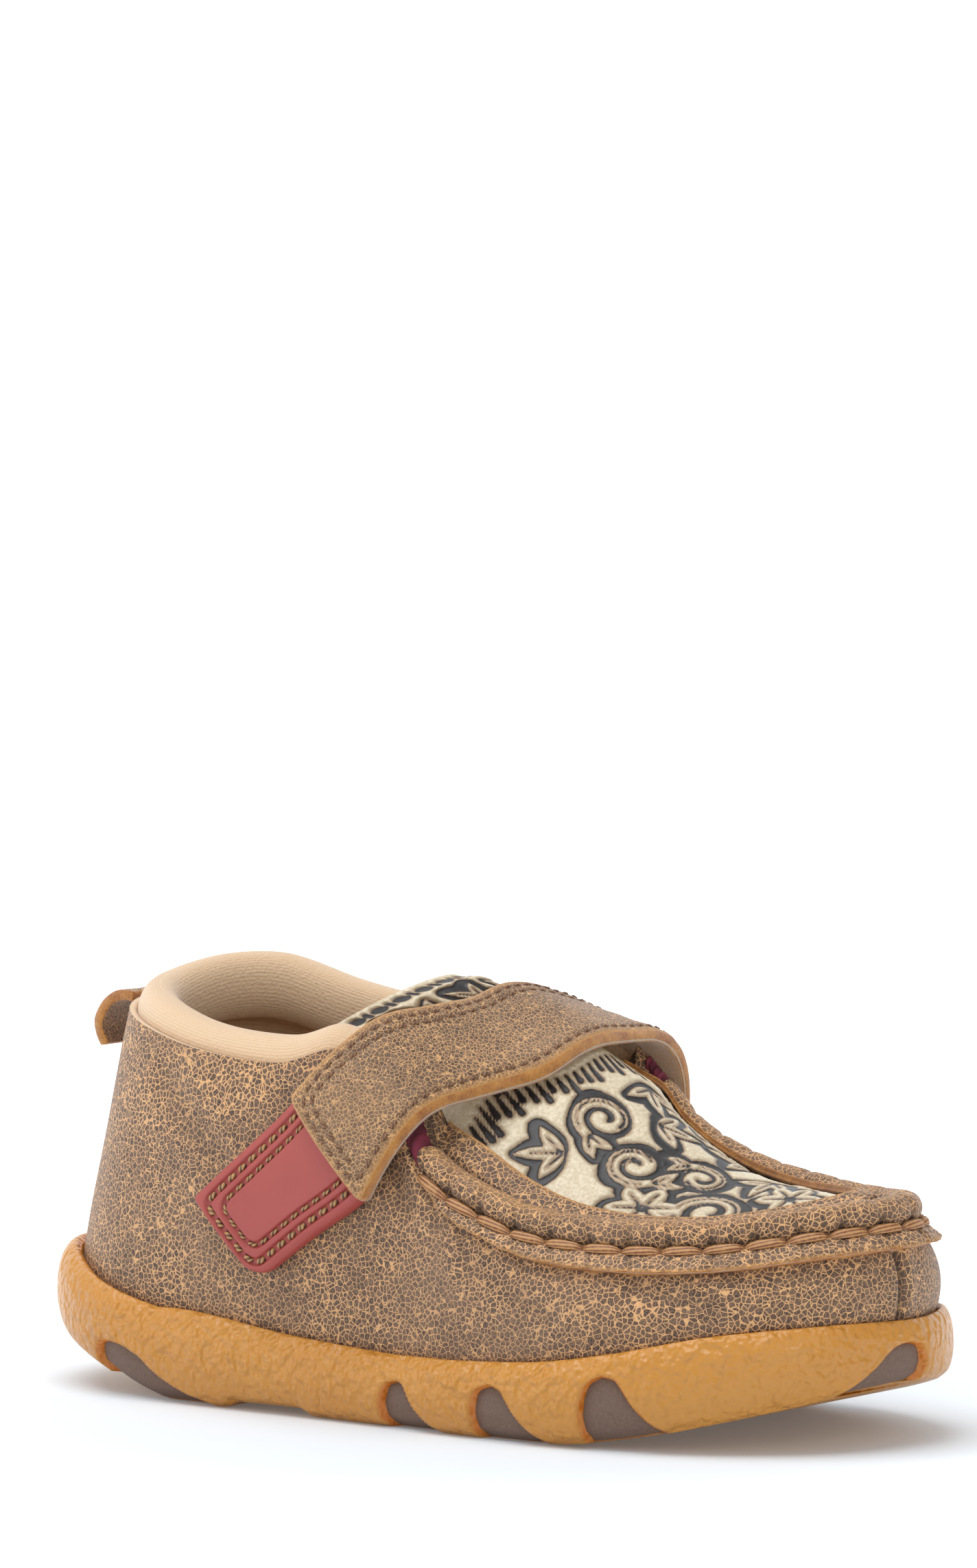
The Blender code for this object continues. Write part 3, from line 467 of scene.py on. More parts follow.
def even_ribs(count):
    """Ribs at even steps round the shoe, the same on both sides; count is even."""
    fine = np.linspace(0.0, TOE_RIB, FINE_STEPS)
    lengths = lengths_along(outline(fine))
    half = np.interp(np.linspace(0.0, lengths[-1], count // 2 + 1), lengths, fine)
    return np.concatenate([half, RIB_COUNT - half[-2:0:-1]])


def side_of(rib):
    """Rib counted from the heel on either side."""
    return np.minimum(rib, RIB_COUNT - rib)


def ripple(points, size, seed):
    """Slow unevenness between -1 and 1, without any direction."""
    turns = points * (2.0 * np.pi / size)
    total = np.zeros(points.shape[:-1])
    for way in range(4):
        angle = seed + way * 2.4
        direction = np.array((math.cos(angle), math.sin(angle), math.sin(1.7 * angle)))
        total = total + np.sin(turns @ direction + 3.1 * way + seed)
    return total / 4.0


print("girth of the sole in mm:", round(float(lengths_along(outline(even_ribs(400)))[-1]) * 1000.0))


# %% [markdown]
# ## Meshes from grids
# Most pieces of a shoe are sheets: a strip of leather, a wall, a band. A sheet is a grid of points. It becomes
# a body either by closing the grid into a ring or by a second grid under it and a rounded edge between.
# These helpers write the mesh, turn its faces outward and keep measured values on its points, for materials.
# %% Mesh helpers
def grid_faces(rows, columns, close_rows=False, close_columns=False):
    """Corners of the quads between the neighbouring points of a grid."""
    low = np.arange(rows if close_rows else rows - 1)
    left = np.arange(columns if close_columns else columns - 1)
    low, left = np.meshgrid(low, left, indexing="ij")
    high, side = (low + 1) % rows, (left + 1) % columns
    corners = (low * columns + left, low * columns + side, high * columns + side, high * columns + left)
    return np.stack(corners, axis=-1).reshape(-1, 4)


def make_piece(name, points, faces, materials, zones=None, values=None, caps=()):
    """A mesh object riding on the shoe: zones pick each quad's material, values stay on its points."""
    points = np.asarray(points, float).reshape(-1, 3)
    mesh = bpy.data.meshes.new(name)
    mesh.from_pydata(points.tolist(), [], faces.tolist() + [list(cap) for cap in caps])
    for material in materials:
        mesh.materials.append(material)
    if zones is not None:
        whole = np.concatenate([zones, np.zeros(len(caps), int)])
        mesh.polygons.foreach_set("material_index", whole.astype(np.int32))
    for label, numbers in (values or {}).items():
        layer = mesh.attributes.new(label, "FLOAT", "POINT")
        layer.data.foreach_set("value", np.asarray(numbers, np.float32).ravel())
    turned = bmesh.new()
    turned.from_mesh(mesh)
    bmesh.ops.recalc_face_normals(turned, faces=turned.faces[:])
    turned.to_mesh(mesh)
    turned.free()
    mesh.shade_smooth()
    mesh.update()
    piece = bpy.data.objects.new(name, mesh)
    bpy.context.collection.objects.link(piece)
    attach(piece, "root")
    print(f"{name}: {len(points)} points, {len(faces)} quads")
    return piece


def normals_of(grid):
    """Directions away from a grid's surface."""
    return unit(np.cross(np.gradient(grid, axis=0), np.gradient(grid, axis=1)))


def border(rows, columns):
    """Numbers of the points along a grid's border, in order."""
    grid = np.arange(rows * columns).reshape(rows, columns)
    return np.concatenate([grid[0, :-1], grid[:-1, -1], grid[-1, :0:-1], grid[:0:-1, 0]])


def slab(outer, inner, edge_rows, bulge):
    """Points, quads and zones of a sheet: zone 0 outside, 1 inside, 2 and up down its edge."""
    rows, columns = outer.shape[:2]
    count = rows * columns
    loop = border(rows, columns)
    over, under = outer.reshape(-1, 3)[loop], inner.reshape(-1, 3)[loop]
    middle = (over + under) / 2.0
    away = unit(np.cross(np.roll(middle, -1, 0) - np.roll(middle, 1, 0), over - under))
    if np.einsum("ij,ij->i", away, middle - middle.mean(0)).sum() < 0.0:
        away = -away
    points = [outer.reshape(-1, 3), inner.reshape(-1, 3)]
    rings = [loop]
    for row in range(1, edge_rows):
        share = row / edge_rows
        points.append(over + (under - over) * share + away * bulge * 4.0 * share * (1.0 - share))
        rings.append(2 * count + (row - 1) * len(loop) + np.arange(len(loop)))
    rings.append(count + loop)
    quads = [grid_faces(rows, columns), grid_faces(rows, columns)[:, ::-1] + count]
    zones = [np.zeros(len(quads[0]), int), np.ones(len(quads[1]), int)]
    for row, (near, far) in enumerate(zip(rings, rings[1:])):
        quads.append(np.stack([near, far, np.roll(far, -1), np.roll(near, -1)], axis=-1))
        zones.append(np.full(len(loop), 2 + row))
    return np.concatenate(points), np.concatenate(quads), np.concatenate(zones)


def kept_on(points, values, first=0, other=0.0):
    """One value for each point: given values from point number first on, another value elsewhere."""
    whole = np.full(len(points), other)
    whole[first:first + values.size] = values.ravel()
    return whole


def sweep_faces_of(rows, columns):
    """Quads of a closed section carried along a line, and its two end caps."""
    quads = grid_faces(rows, columns, close_columns=True)
    last = (rows - 1) * columns
    return quads, (range(columns - 1, -1, -1), range(last, last + columns))


# %% [markdown]
# ## Rubber of the sole
# The sole is moulded crepe-look gum rubber: warm amber, slightly see-through at thin edges, with the soft,
# wrinkled skin of a mould. It shines broadly, not sharply. The darker inserts are a harder, matt rubber.
# The wrinkles are about 1.5 mm wide, so they are bump on a mesh that carries the true outline.
# %% Moulded gum rubber and taupe rubber
def moulded_gum_rubber():
    """Natural gum rubber from a textured mould: amber, soft shine, light passes a little way in."""
    material, tree, shader = start_material("moulded_gum_rubber", 0.34, ior=1.52, Subsurface_Weight=0.10,
                                            Subsurface_Radius=(1.0, 0.35, 0.08), Subsurface_Scale=0.0015)
    place = place_of(tree)
    tone = blend(tree, noise(tree, place, 18.0, 3.0), "#BD7D2B", "#CB903E")
    # Painted light: deeper orange on the windows' walls stands for light glowing through and bouncing in the recess,
    # and on the rim by the leather for shade in that groove.
    tree.links.new(blend(tree, kept(tree, "recess_glow_and_shade"), tone, "#C8701C"), shader.inputs["Base Color"])
    skin = node(tree, "ShaderNodeTexVoronoi", {"Vector": warped(tree, place, 1.6, 0.0009), "Scale": per_mm(1.5),
                                               "Smoothness": 1.0}, feature="SMOOTH_F1")
    pebbles = bump(tree, shader, maths(tree, "SUBTRACT", 1.0, skin.outputs["Distance"]), 0.00050, 0.7)
    bump(tree, shader, noise(tree, place, 1.5, 1.0), 0.00110, 0.8, pebbles)
    return material


def moulded_taupe_rubber():
    """Harder carbon-filled rubber, blasted mould: matt, with faint flow lines."""
    material, tree, shader = start_material("moulded_taupe_rubber", 0.68, ior=1.52)
    place = place_of(tree)
    grain = noise(tree, place, 0.35, 3.0)
    tree.links.new(blend(tree, grain, "#5E483B", "#80685A"), shader.inputs["Base Color"])
    level = node(tree, "ShaderNodeMapping", {"Vector": place, "Scale": (1.0, 1.0, 6.0)}).outputs["Vector"]
    flow = bump(tree, shader, noise(tree, level, 1.2), 0.00010, 0.4)
    bump(tree, shader, grain, 0.00005, 0.5, flow)
    return material


GUM = moulded_gum_rubber()
TAUPE = moulded_taupe_rubber()

# %% [markdown]
# ## Sole with its windows
# The side of the cup sole is a rounded wall with comma-shaped windows, in which darker pods sit. A boolean
# would cut them, but its edges are hard to round. Here the wall is one fine grid, and its points are pushed
# in wherever they lie inside a window's outline, with a soft shoulder. The distance to that outline is
# a real length, so every window has the same edge.
# %% Windows of the sole
Window = namedtuple("Window", "name steep tail height sides")
WINDOWS = (
    Window("heel", 2.06, 3.25, 0.46, ("lateral", "medial")),
    Window("waist", 5.07, 6.40, 0.66, ("lateral", "medial")),
    Window("middle", 7.23, 8.22, 0.70, ("lateral", "medial")),
    Window("ball", 8.73, 9.60, 0.76, ("lateral", "medial")),
    Window("toe", 12.04, 11.15, 0.66, ("lateral",)),
)
# Outline of a window: level of its height, near and far of its width
WINDOW_SHAPE = (
    (0.0, 0.03, 1.0), (0.22, 0.0, 0.82), (0.48, 0.0, 0.66), (0.74, 0.04, 0.54), (0.92, 0.11, 0.44), (1.0, 0.27, 0.29),
)
WINDOW_ROWS = 20
WINDOW_FOOT = -0.004                 # windows run on below the foot of the sole's side
WINDOW_REACH = 0.002                 # points further from a window are left out
WINDOW_SHOULDER = (0.00028, -0.00042)    # where the push starts outside and is full inside the outline


def window_width(window):
    """Width of a window at its foot, in metres."""
    return float(np.linalg.norm(outline(np.array(window.tail)) - outline(np.array(window.steep))))


def window_edges(window, count, trim=0.0):
    """Levels, near and far edges of a window in metres, from its foot to its crown."""
    level, near, far = np.moveaxis(through(WINDOW_SHAPE, count), -1, 0)
    crown = window.height * SIDE_HEIGHT
    near, far = near * window_width(window) + trim, far * window_width(window) - trim
    middle = (near + far) / 2.0
    return level * (crown - trim), np.minimum(near, middle - 0.00005), np.maximum(far, middle + 0.00005)


def polygon_distance(points, corners):
    """Distance of flat points to a closed outline, negative inside it."""
    start, end = corners, np.roll(corners, -1, axis=0)
    run = end - start
    away = points[:, None, :] - start[None]
    share = np.clip((away * run).sum(-1) / np.maximum((run * run).sum(-1), 1e-18), 0.0, 1.0)
    distance = np.linalg.norm(away - share[..., None] * run, axis=-1).min(axis=1)
    crosses = (start[:, 1] > points[:, 1:2]) != (end[:, 1] > points[:, 1:2])
    slope = run[:, 0] / np.where(np.abs(run[:, 1]) < 1e-12, 1e-12, run[:, 1])
    hits = crosses & (points[:, 0:1] < start[:, 0] + slope * (points[:, 1:2] - start[:, 1]))
    return np.where(hits.sum(axis=1) % 2 == 1, -distance, distance)


def window_push(rib, height):
    """How far the sole's side is pushed in, as a share, at ribs and heights above its foot."""
    push = np.zeros(rib.shape)
    for window in WINDOWS:
        width = window_width(window)
        level, near, far = window_edges(window, WINDOW_ROWS)
        level = np.concatenate([[WINDOW_FOOT], level])
        near, far = (np.stack([np.concatenate([edge[:1], edge]), level], axis=-1) for edge in (near, far))
        corners = np.concatenate([near, far[::-1]])
        for side in window.sides:
            place = rib if side == "lateral" else RIB_COUNT - rib
            across = (place - window.steep) / (window.tail - window.steep) * width
            near_by = (across > -WINDOW_REACH) & (across < width + WINDOW_REACH)
            near_by &= height < window.height * SIDE_HEIGHT + WINDOW_REACH
            flat = np.stack([across[near_by], height[near_by]], axis=-1)
            share = smooth_step(WINDOW_SHOULDER[1], WINDOW_SHOULDER[0], polygon_distance(flat, corners))
            push[near_by] = np.maximum(push[near_by], 1.0 - share)
    return push


# %% Build the sole
SOLE_COLUMNS = 900
SOLE_ROWS = 60
SOLE_CROWN_ROWS = 8                  # rows over the top edge, where no window reaches
SOLE_RIM_ROWS = 6                    # rows that turn in against the leather, painted darker orange as shade in that groove
SOLE_WAVE = 0.00006
BOTTOM_STEPS = 14                    # strips across the shoe under the sole
FLOOR_STEPS = 6                      # and on the floor inside it
sole_ribs = even_ribs(SOLE_COLUMNS)
section = through(SOLE_SIDE, SOLE_ROWS)
ribs, insets = np.meshgrid(sole_ribs, section[:, 0])
levels = np.meshgrid(sole_ribs, section[:, 1])[1]
push = window_push(ribs, levels * SIDE_HEIGHT)
push[-SOLE_CROWN_ROWS:] = 0.0
wall = side_point(ribs, levels, insets * cup_lip(ribs) + push * WINDOW_DEPTH)
wall = wall + outward(outline, ribs) * (ripple(wall, 0.017, 1.0) * SOLE_WAVE)[..., None]
wall = np.concatenate([wall, floor_line(sole_ribs, 0.0, rise=0.0)[None]])


def close_ring(points, ring_start, columns, steps):
    """Points and quads that close a ring of a grid with strips across the shoe."""
    half = columns // 2
    ring = points[ring_start:ring_start + columns]
    near, far = ring[1:half, None], ring[:half:-1, None]
    between = near + (far - near) * np.linspace(0.0, 1.0, steps + 1)[1:-1, None]
    numbers = len(points) + np.arange((half - 1) * (steps - 1)).reshape(half - 1, steps - 1)
    left = ring_start + np.arange(1, half)
    opposite = ring_start + columns - np.arange(1, half)
    table = np.concatenate([left[:, None], numbers, opposite[:, None]], axis=1)
    quads = np.stack([table[:-1, :-1], table[1:, :-1], table[1:, 1:], table[:-1, 1:]], axis=-1).reshape(-1, 4)
    ends = [(tip, *row[place:place + 3]) for tip, row in ((ring_start, table[0]), (ring_start + half, table[-1]))
            for place in range(0, steps - 1, 2)]
    return np.concatenate([points, between.reshape(-1, 3)]), np.concatenate([quads, np.array(ends, int)])


sole_points = wall.reshape(-1, 3)
sole_quads = grid_faces(len(wall), SOLE_COLUMNS, close_columns=True)
sole_points, under_quads = close_ring(sole_points, 0, SOLE_COLUMNS, BOTTOM_STEPS)
sole_points, floor_quads = close_ring(sole_points, (len(wall) - 1) * SOLE_COLUMNS, SOLE_COLUMNS, FLOOR_STEPS)
sole_quads = np.concatenate([sole_quads, under_quads, floor_quads[:, ::-1]])
# Painted light for the gum: strongest on the windows' walls, less on their floors, and a fixed share on the rim rows
# by the leather.
recess_glow_and_shade = kept_on(sole_points, 4.0 * push * (1.0 - push) + 0.4 * push)
recess_glow_and_shade[(SOLE_ROWS - SOLE_RIM_ROWS) * SOLE_COLUMNS:SOLE_ROWS * SOLE_COLUMNS] = 0.45
sole = make_piece("sole_cup", sole_points, sole_quads, [GUM], values={"recess_glow_and_shade": recess_glow_and_shade})
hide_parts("sole")

# %% [markdown]
# ## Pods
# Each pod fills its window a little below the rubber's surface. It is a rounded sheet with the window's own
# outline, drawn in by a small gap, so it follows every bend of the sole's side.
# %% Build the pods
POD_ROWS = 26
POD_COLUMNS = 26
POD_CROWN = 0.00035
POD_GAP = 0.00012                    # between a pod and its window's outline
POD_LIFT = 0.02                      # share of the side's height between a pod and the floor
POD_DEEP = 0.0006                    # how far a pod runs on behind its window


def pod_grid(window, side, inset, crown):
    """Points of a pod's face inside its window's outline."""
    level, near, far = window_edges(window, POD_ROWS, trim=POD_GAP)
    shares = 0.5 - 0.5 * np.cos(np.pi * np.linspace(0.0, 1.0, POD_COLUMNS))
    across = near[:, None] + (far - near)[:, None] * shares
    heights = np.broadcast_to(np.maximum(level, 0.0)[:, None], across.shape)
    place = window.steep + (window.tail - window.steep) * across / window_width(window)
    rib = place if side == "lateral" else RIB_COUNT - place
    share = heights / SIDE_HEIGHT
    insets, levels = zip(*SOLE_SIDE[:7])
    curved = np.interp(share, levels, insets) * cup_lip(rib)
    upward = np.linspace(0.0, 1.0, POD_ROWS)[:, None]
    swell = crown * np.sin(np.pi * shares) ** 0.5 * (1.0 - upward ** 4)
    return side_point(rib, share + POD_LIFT, curved + inset - swell)


for window in WINDOWS:
    for side in window.sides:
        face = pod_grid(window, side, POD_RECESS + POD_CROWN, POD_CROWN)
        rear = pod_grid(window, side, WINDOW_DEPTH + POD_DEEP, 0.0)
        points, quads, zones = slab(face, rear, 3, 0.0)
        pod = make_piece(f"pod_{window.name}_{side}_moulded", points, quads, [TAUPE])
        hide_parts(f"pod_{window.name}_{side}")

# %% [markdown]
# ## Leather of the upper
# The upper is nubuck printed with a crackle: a dark waxed skin that has shrunk into small cells, with the
# tan hide showing in the lines between them. Cells are 0.6 to 0.8 mm. A Voronoi pattern in the object's own
# space gives the cells. Slow noise widens the lines where the shoe has rubbed and closes them where the
# leather is stretched or dark. Larger noise lays pale patches over it that are partly rubbed nap and partly
# painted sheen. The strap is cut from a finer, more rubbed part of the same hide, with more of these patches.
# %% Crackle nubuck
def crackle_nubuck(name, cell, line_hex, cell_hex, pale_hex, worn_sheen, relief, rough=0.60):
    """Printed nubuck: dark waxed cells, tan lines, pale patches of partly rubbed nap and partly painted sheen; soft
    broad shine from the wax.
    """
    material, tree, shader = start_material(name, rough, ior=1.48, Sheen_Weight=0.08, Sheen_Roughness=0.6)
    place = place_of(tree)
    bent = warped(tree, place, cell * 2.2, 0.00075 * cell)

    def cells(size, feature):
        return node(tree, "ShaderNodeTexVoronoi", {"Vector": bent, "Scale": per_mm(size)}, feature=feature).outputs

    zone = noise(tree, place, 9.0, 4.0, 0.6)
    line = spread(tree, zone, 0.30, 0.78, 0.022, 0.052)
    closed = spread(tree, cells(cell, "DISTANCE_TO_EDGE")["Distance"], line, maths(tree, "MULTIPLY", line, 2.6),
                    kind="SMOOTHSTEP")
    fine = spread(tree, cells(cell * 0.5, "DISTANCE_TO_EDGE")["Distance"], 0.01, 0.08, 0.62)
    skin = maths(tree, "MULTIPLY", closed, fine)
    chance = node(tree, "ShaderNodeSeparateColor", {"Color": cells(cell, "F1")["Color"]}).outputs["Red"]
    tone = blend(tree, maths(tree, "MULTIPLY", chance, 0.38), cell_hex, pale_hex)
    # Pale patches at random: partly rubbed nap, partly painted sheen.
    rubbed_sheen = spread(tree, noise(tree, place, 21.0, 3.0), 0.47, 0.70, 0.0, worn_sheen, "SMOOTHSTEP")
    colour = blend(tree, rubbed_sheen, blend(tree, skin, line_hex, tone), pale_hex)
    colour = blend(tree, kept(tree, "rub"), colour, "#BE8A4A")
    # Painted shade: darker in seam grooves, creases, round needle holes and in the valley beside the roll.
    colour = blend(tree, kept(tree, "painted_shade"), colour, "#35241A")
    tree.links.new(colour, shader.inputs["Base Color"])
    low = bump(tree, shader, zone, 0.0006, 0.25)
    bump(tree, shader, skin, relief, 0.5, low)
    return material


def raw_split_edge(name, bright_hex, dark_hex):
    """Cut edge of the hide: brushed tan fibres, no shine."""
    material, tree, shader = start_material(name, 0.95, ior=1.45, Sheen_Weight=0.5, Sheen_Roughness=0.5)
    place = place_of(tree)
    fibre, clump = noise(tree, place, 0.30, 4.0, 0.7), noise(tree, place, 2.2)
    share = spread(tree, maths(tree, "ADD", fibre, clump), 0.75, 1.3)
    tree.links.new(blend(tree, share, dark_hex, bright_hex), shader.inputs["Base Color"])
    low = bump(tree, shader, clump, 0.0004, 0.4)
    bump(tree, shader, fibre, 0.00022, 0.9, low)
    return material


def ribbed_knit(name, bright_hex, dark_hex, pitch):
    """Brushed cotton knit with fine ribs: its nap scatters light, so it has sheen and no gloss."""
    material, tree, shader = start_material(name, 0.92, ior=1.46, Sheen_Weight=0.35)
    turns = maths(tree, "MULTIPLY", kept(tree, "rib_place"), 2.0 * math.pi / pitch)
    wale = spread(tree, maths(tree, "SINE", turns), -1.0, 0.6)
    nap = noise(tree, place_of(tree), 0.45, 3.0)
    level = spread(tree, maths(tree, "MULTIPLY", wale, nap), -0.45, 0.42)
    tree.links.new(blend(tree, level, dark_hex, bright_hex), shader.inputs["Base Color"])
    low = bump(tree, shader, wale, 0.00004, 0.5)
    bump(tree, shader, nap, 0.00020, 0.8, low)
    return material


NUBUCK = crackle_nubuck("crackle_printed_nubuck", 0.80, "#D8A671", "#3C2A23", "#8F7058", 0.22, 0.00012)
STRAP_NUBUCK = crackle_nubuck("rubbed_sheen_crackle_nubuck", 0.58, "#CF9F6B", "#412E25", "#957658", 0.32, 0.00010,
                              rough=0.55)
RAW_EDGE = raw_split_edge("raw_split_edge", "#CC9044", "#96581E")
KNIT_PITCH = 0.67                    # millimetres between its ribs
KNIT = ribbed_knit("ribbed_cotton_knit", "#DABD9B", "#C7A482", KNIT_PITCH)

# %% [markdown]
# ## Upper
# The upper is one wall of leather that stands in the rubber cup, leans in, and ends in a raw lip below the
# moccasin seam. One closed ring of points carries the outer face, the lip and the knitted lining. The toe
# has a pinched seam down its front, and each stitch of the moccasin seam puckers the leather a little.
# %% Stitches and creases of the upper
SEAM_STEPS = 1201
STITCH_COUNT = 24                    # moccasin stitches from one end of the roll to the other
TOE_SEAM_DEPTH = 0.0010
TOE_SWELL = 0.0003                   # welts beside it: height, distance from it and half width
TOE_SWELL_SIDE = 0.0018
TOE_SWELL_WIDTH = 0.0011
PUCKER_DEPTH = 0.00035
WALL_WAVE = 0.00022
TOE_SEAM_WIDTH = 0.00045
TOE_SEAM_SIDE = -0.0036               # from the middle of the toe, here on the lateral side
# Creases: rib and share of both ends, half width in metres, depth in metres
CREASES = (
    (5.35, 0.90, 6.05, 0.52, 0.0020, 0.00040),
    (4.10, 0.92, 4.55, 0.60, 0.0024, 0.00035),
    (2.60, 0.86, 3.30, 0.62, 0.0026, 0.00035),
    (7.55, 0.62, 8.35, 0.40, 0.0022, 0.00032),
    (9.40, 0.66, 10.05, 0.42, 0.0020, 0.00028),
    (18.10, 0.88, 17.50, 0.55, 0.0022, 0.00040),
    (20.40, 0.88, 19.90, 0.58, 0.0024, 0.00035),
    (15.40, 0.70, 14.60, 0.45, 0.0022, 0.00030),
    (22.60, 0.84, 21.90, 0.60, 0.0024, 0.00032),
)
seam_line = np.linspace(RIM_START, RIB_COUNT - RIM_START, SEAM_STEPS)
seam_lengths = lengths_along(wall_top(seam_line))
STITCH_PITCH = seam_lengths[-1] / STITCH_COUNT


def stitch_phase(rib):
    """Place along the moccasin seam, counted in stitches; whole numbers are needle holes."""
    return np.interp(rib, seam_line, seam_lengths) / STITCH_PITCH


def hole_nearness(rib, sharp):
    """1 at a needle hole of the moccasin seam, 0 between two of them."""
    phase = stitch_phase(rib)
    return np.exp(sharp * (np.cos(2.0 * np.pi * phase) - 1.0)) * (np.abs(rib - TOE_RIB) < TOE_RIB - RIM_START)


def crease_depth(points):
    """Depth of the soft listed creases at points of the wall."""
    depth = np.zeros(points.shape[:-1])
    for first_rib, first_share, last_rib, last_share, width, deep in CREASES:
        start, end = (wall_point(np.array(rib), np.array(share)) for rib, share in
                      ((first_rib, first_share), (last_rib, last_share)))
        run = end - start
        along = ((points - start) @ run) / (run @ run)
        gap = np.linalg.norm(points - start - np.clip(along, 0.0, 1.0)[..., None] * run, axis=-1)
        depth += deep * (bell(gap, width) - 0.55 * bell(gap - 1.7 * width, width))
    return depth


# %% Build the upper
UPPER_COLUMNS = 800
OUTER_ROWS = 52
LIP_ROWS = 18
LINING_ROWS = 18
EDGE_WALL = 0.0010                   # the leather is skived thin at the collar
SKIVED = 0.88                        # share of the wall's height where that starts
LIP_RUN = (6.95, 7.60)               # ribs where the lip starts and is whole
LIP_EDGE_ROWS = 6                    # rows of the lip that show its cut edge
LIP_START = 0.12                     # how much of the lip there is where that edge starts
FRAY = 0.16
LIP_PULL = 0.30                      # how far stitches pull the lip in
LINING_DEPTH = 0.044                 # from the collar down to the footbed, for the ribs of the knit
DEEPEST_CREASE = 0.0004
# Lip below the stitches: drop, out
SEAM_LIP = ((1.12, 0.00), (1.00, 0.90), (0.84, 1.02), (0.60, 0.94), (0.30, 0.62), (0.0, 0.0))
upper_ribs = even_ribs(UPPER_COLUMNS)
lip_amount = smooth_step(*LIP_RUN, side_of(upper_ribs))
wall_heights = wall_point(upper_ribs, 1.0)[:, 2] - wall_point(upper_ribs, 0.0)[:, 2]
lip = through(SEAM_LIP, LIP_ROWS)
lip_top = 1.0 - lip[0, 0] * SEAM_LIP_DROP / wall_heights
sunk = floor_line(upper_ribs, GAP)
shares = np.linspace(0.0, 1.0, OUTER_ROWS, endpoint=False)[:, None] * lip_top[None]
ribs = np.broadcast_to(upper_ribs, shares.shape)
outer = wall_point(ribs, shares)
normals = wall_normal(ribs, shares)
toe_gap = outer[..., 1] - wall_top(np.array(float(TOE_RIB)))[1] - TOE_SEAM_SIDE
at_toe = np.abs(ribs - TOE_RIB) < 1.0
toe_seam = at_toe * bell(toe_gap, TOE_SEAM_WIDTH)
toe_swell = at_toe * bell(np.abs(toe_gap) - TOE_SWELL_SIDE, TOE_SWELL_WIDTH)
pucker = hole_nearness(ribs, 3.0) * smooth_step(0.55, 1.0, shares)
move = WALL_WAVE * ripple(outer, 0.021, 2.0) - crease_depth(outer) - TOE_SEAM_DEPTH * toe_seam
move = (move + TOE_SWELL * toe_swell - PUCKER_DEPTH * pucker) * smooth_step(0.0, 0.10, shares)
outer = outer + normals * move[..., None]
lip_shares = 1.0 - lip[:, 0:1] * SEAM_LIP_DROP / wall_heights[None]
ribs = np.broadcast_to(upper_ribs, lip_shares.shape)
fray = 1.0 + FRAY * ripple(wall_point(ribs, lip_shares), 0.0019, 4.0) - LIP_PULL * hole_nearness(ribs, 10.0)
lip_wall = wall_point(ribs, lip_shares) + outward(wall_top, ribs) * (
    lip[:, 1:2] * SEAM_LIP_OUT * lip_amount[None] * fray)[..., None]
lining_shares = np.linspace(1.0, 0.0, LINING_ROWS)[:, None] * np.ones(UPPER_COLUMNS)
ribs = np.broadcast_to(upper_ribs, lining_shares.shape)
thickness = EDGE_WALL + (WALL - EDGE_WALL) * smooth_step(1.0, SKIVED, lining_shares)
thickness = np.maximum(thickness, WALL * lip_amount[None])
lining = wall_point(ribs, lining_shares) - wall_normal(ribs, lining_shares) * thickness[..., None]
under = floor_line(upper_ribs, GAP + WALL)
whole = np.concatenate([sunk[None], outer, lip_wall, lining, under[None]])
quads = grid_faces(len(whole), UPPER_COLUMNS, close_rows=True, close_columns=True)
row_of = np.arange(len(quads)) // UPPER_COLUMNS
column_of = np.arange(len(quads)) % UPPER_COLUMNS
lip_zone = (row_of >= OUTER_ROWS) & (row_of < OUTER_ROWS + LIP_EDGE_ROWS) & (lip_amount[column_of] > LIP_START)
zones = np.where(row_of >= OUTER_ROWS + LIP_ROWS, 2, np.where(lip_zone, 1, 0))
outer_rows, lip_rows, lining_rows = (slice(first, first + count) for first, count in (
    (1, OUTER_ROWS), (1 + OUTER_ROWS, LIP_ROWS), (1 + OUTER_ROWS + LIP_ROWS, LINING_ROWS)))
rib_place, painted_shade, rub = np.zeros((3, *whole.shape[:2]))
rib_place[lining_rows] = (1.0 - lining_shares) * LINING_DEPTH * 1000.0
creased = crease_depth(wall_point(*np.broadcast_arrays(upper_ribs, shares))) / DEEPEST_CREASE
# Painted shade on the upper: in the toe seam, at the stitches' puckers and in the creases; on the lip, beside its
# needle holes.
painted_shade[outer_rows] = np.minimum(0.85 * toe_seam + 0.35 * pucker, 0.9) + 0.30 * creased.clip(0.0, 1.0)
painted_shade[lip_rows] = 0.8 * hole_nearness(ribs[:1], 14.0) * smooth_step(0.9, 0.1, lip[:, 0:1])
rub[lip_rows] = 0.7 * smooth_step(0.72, 1.0, lip[:, 0:1]) * lip_amount[None]
upper = make_piece("leather_upper", whole, quads, [NUBUCK, RAW_EDGE, KNIT], zones,
                   {"rib_place": rib_place, "painted_shade": painted_shade, "rub": rub})
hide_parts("upper")

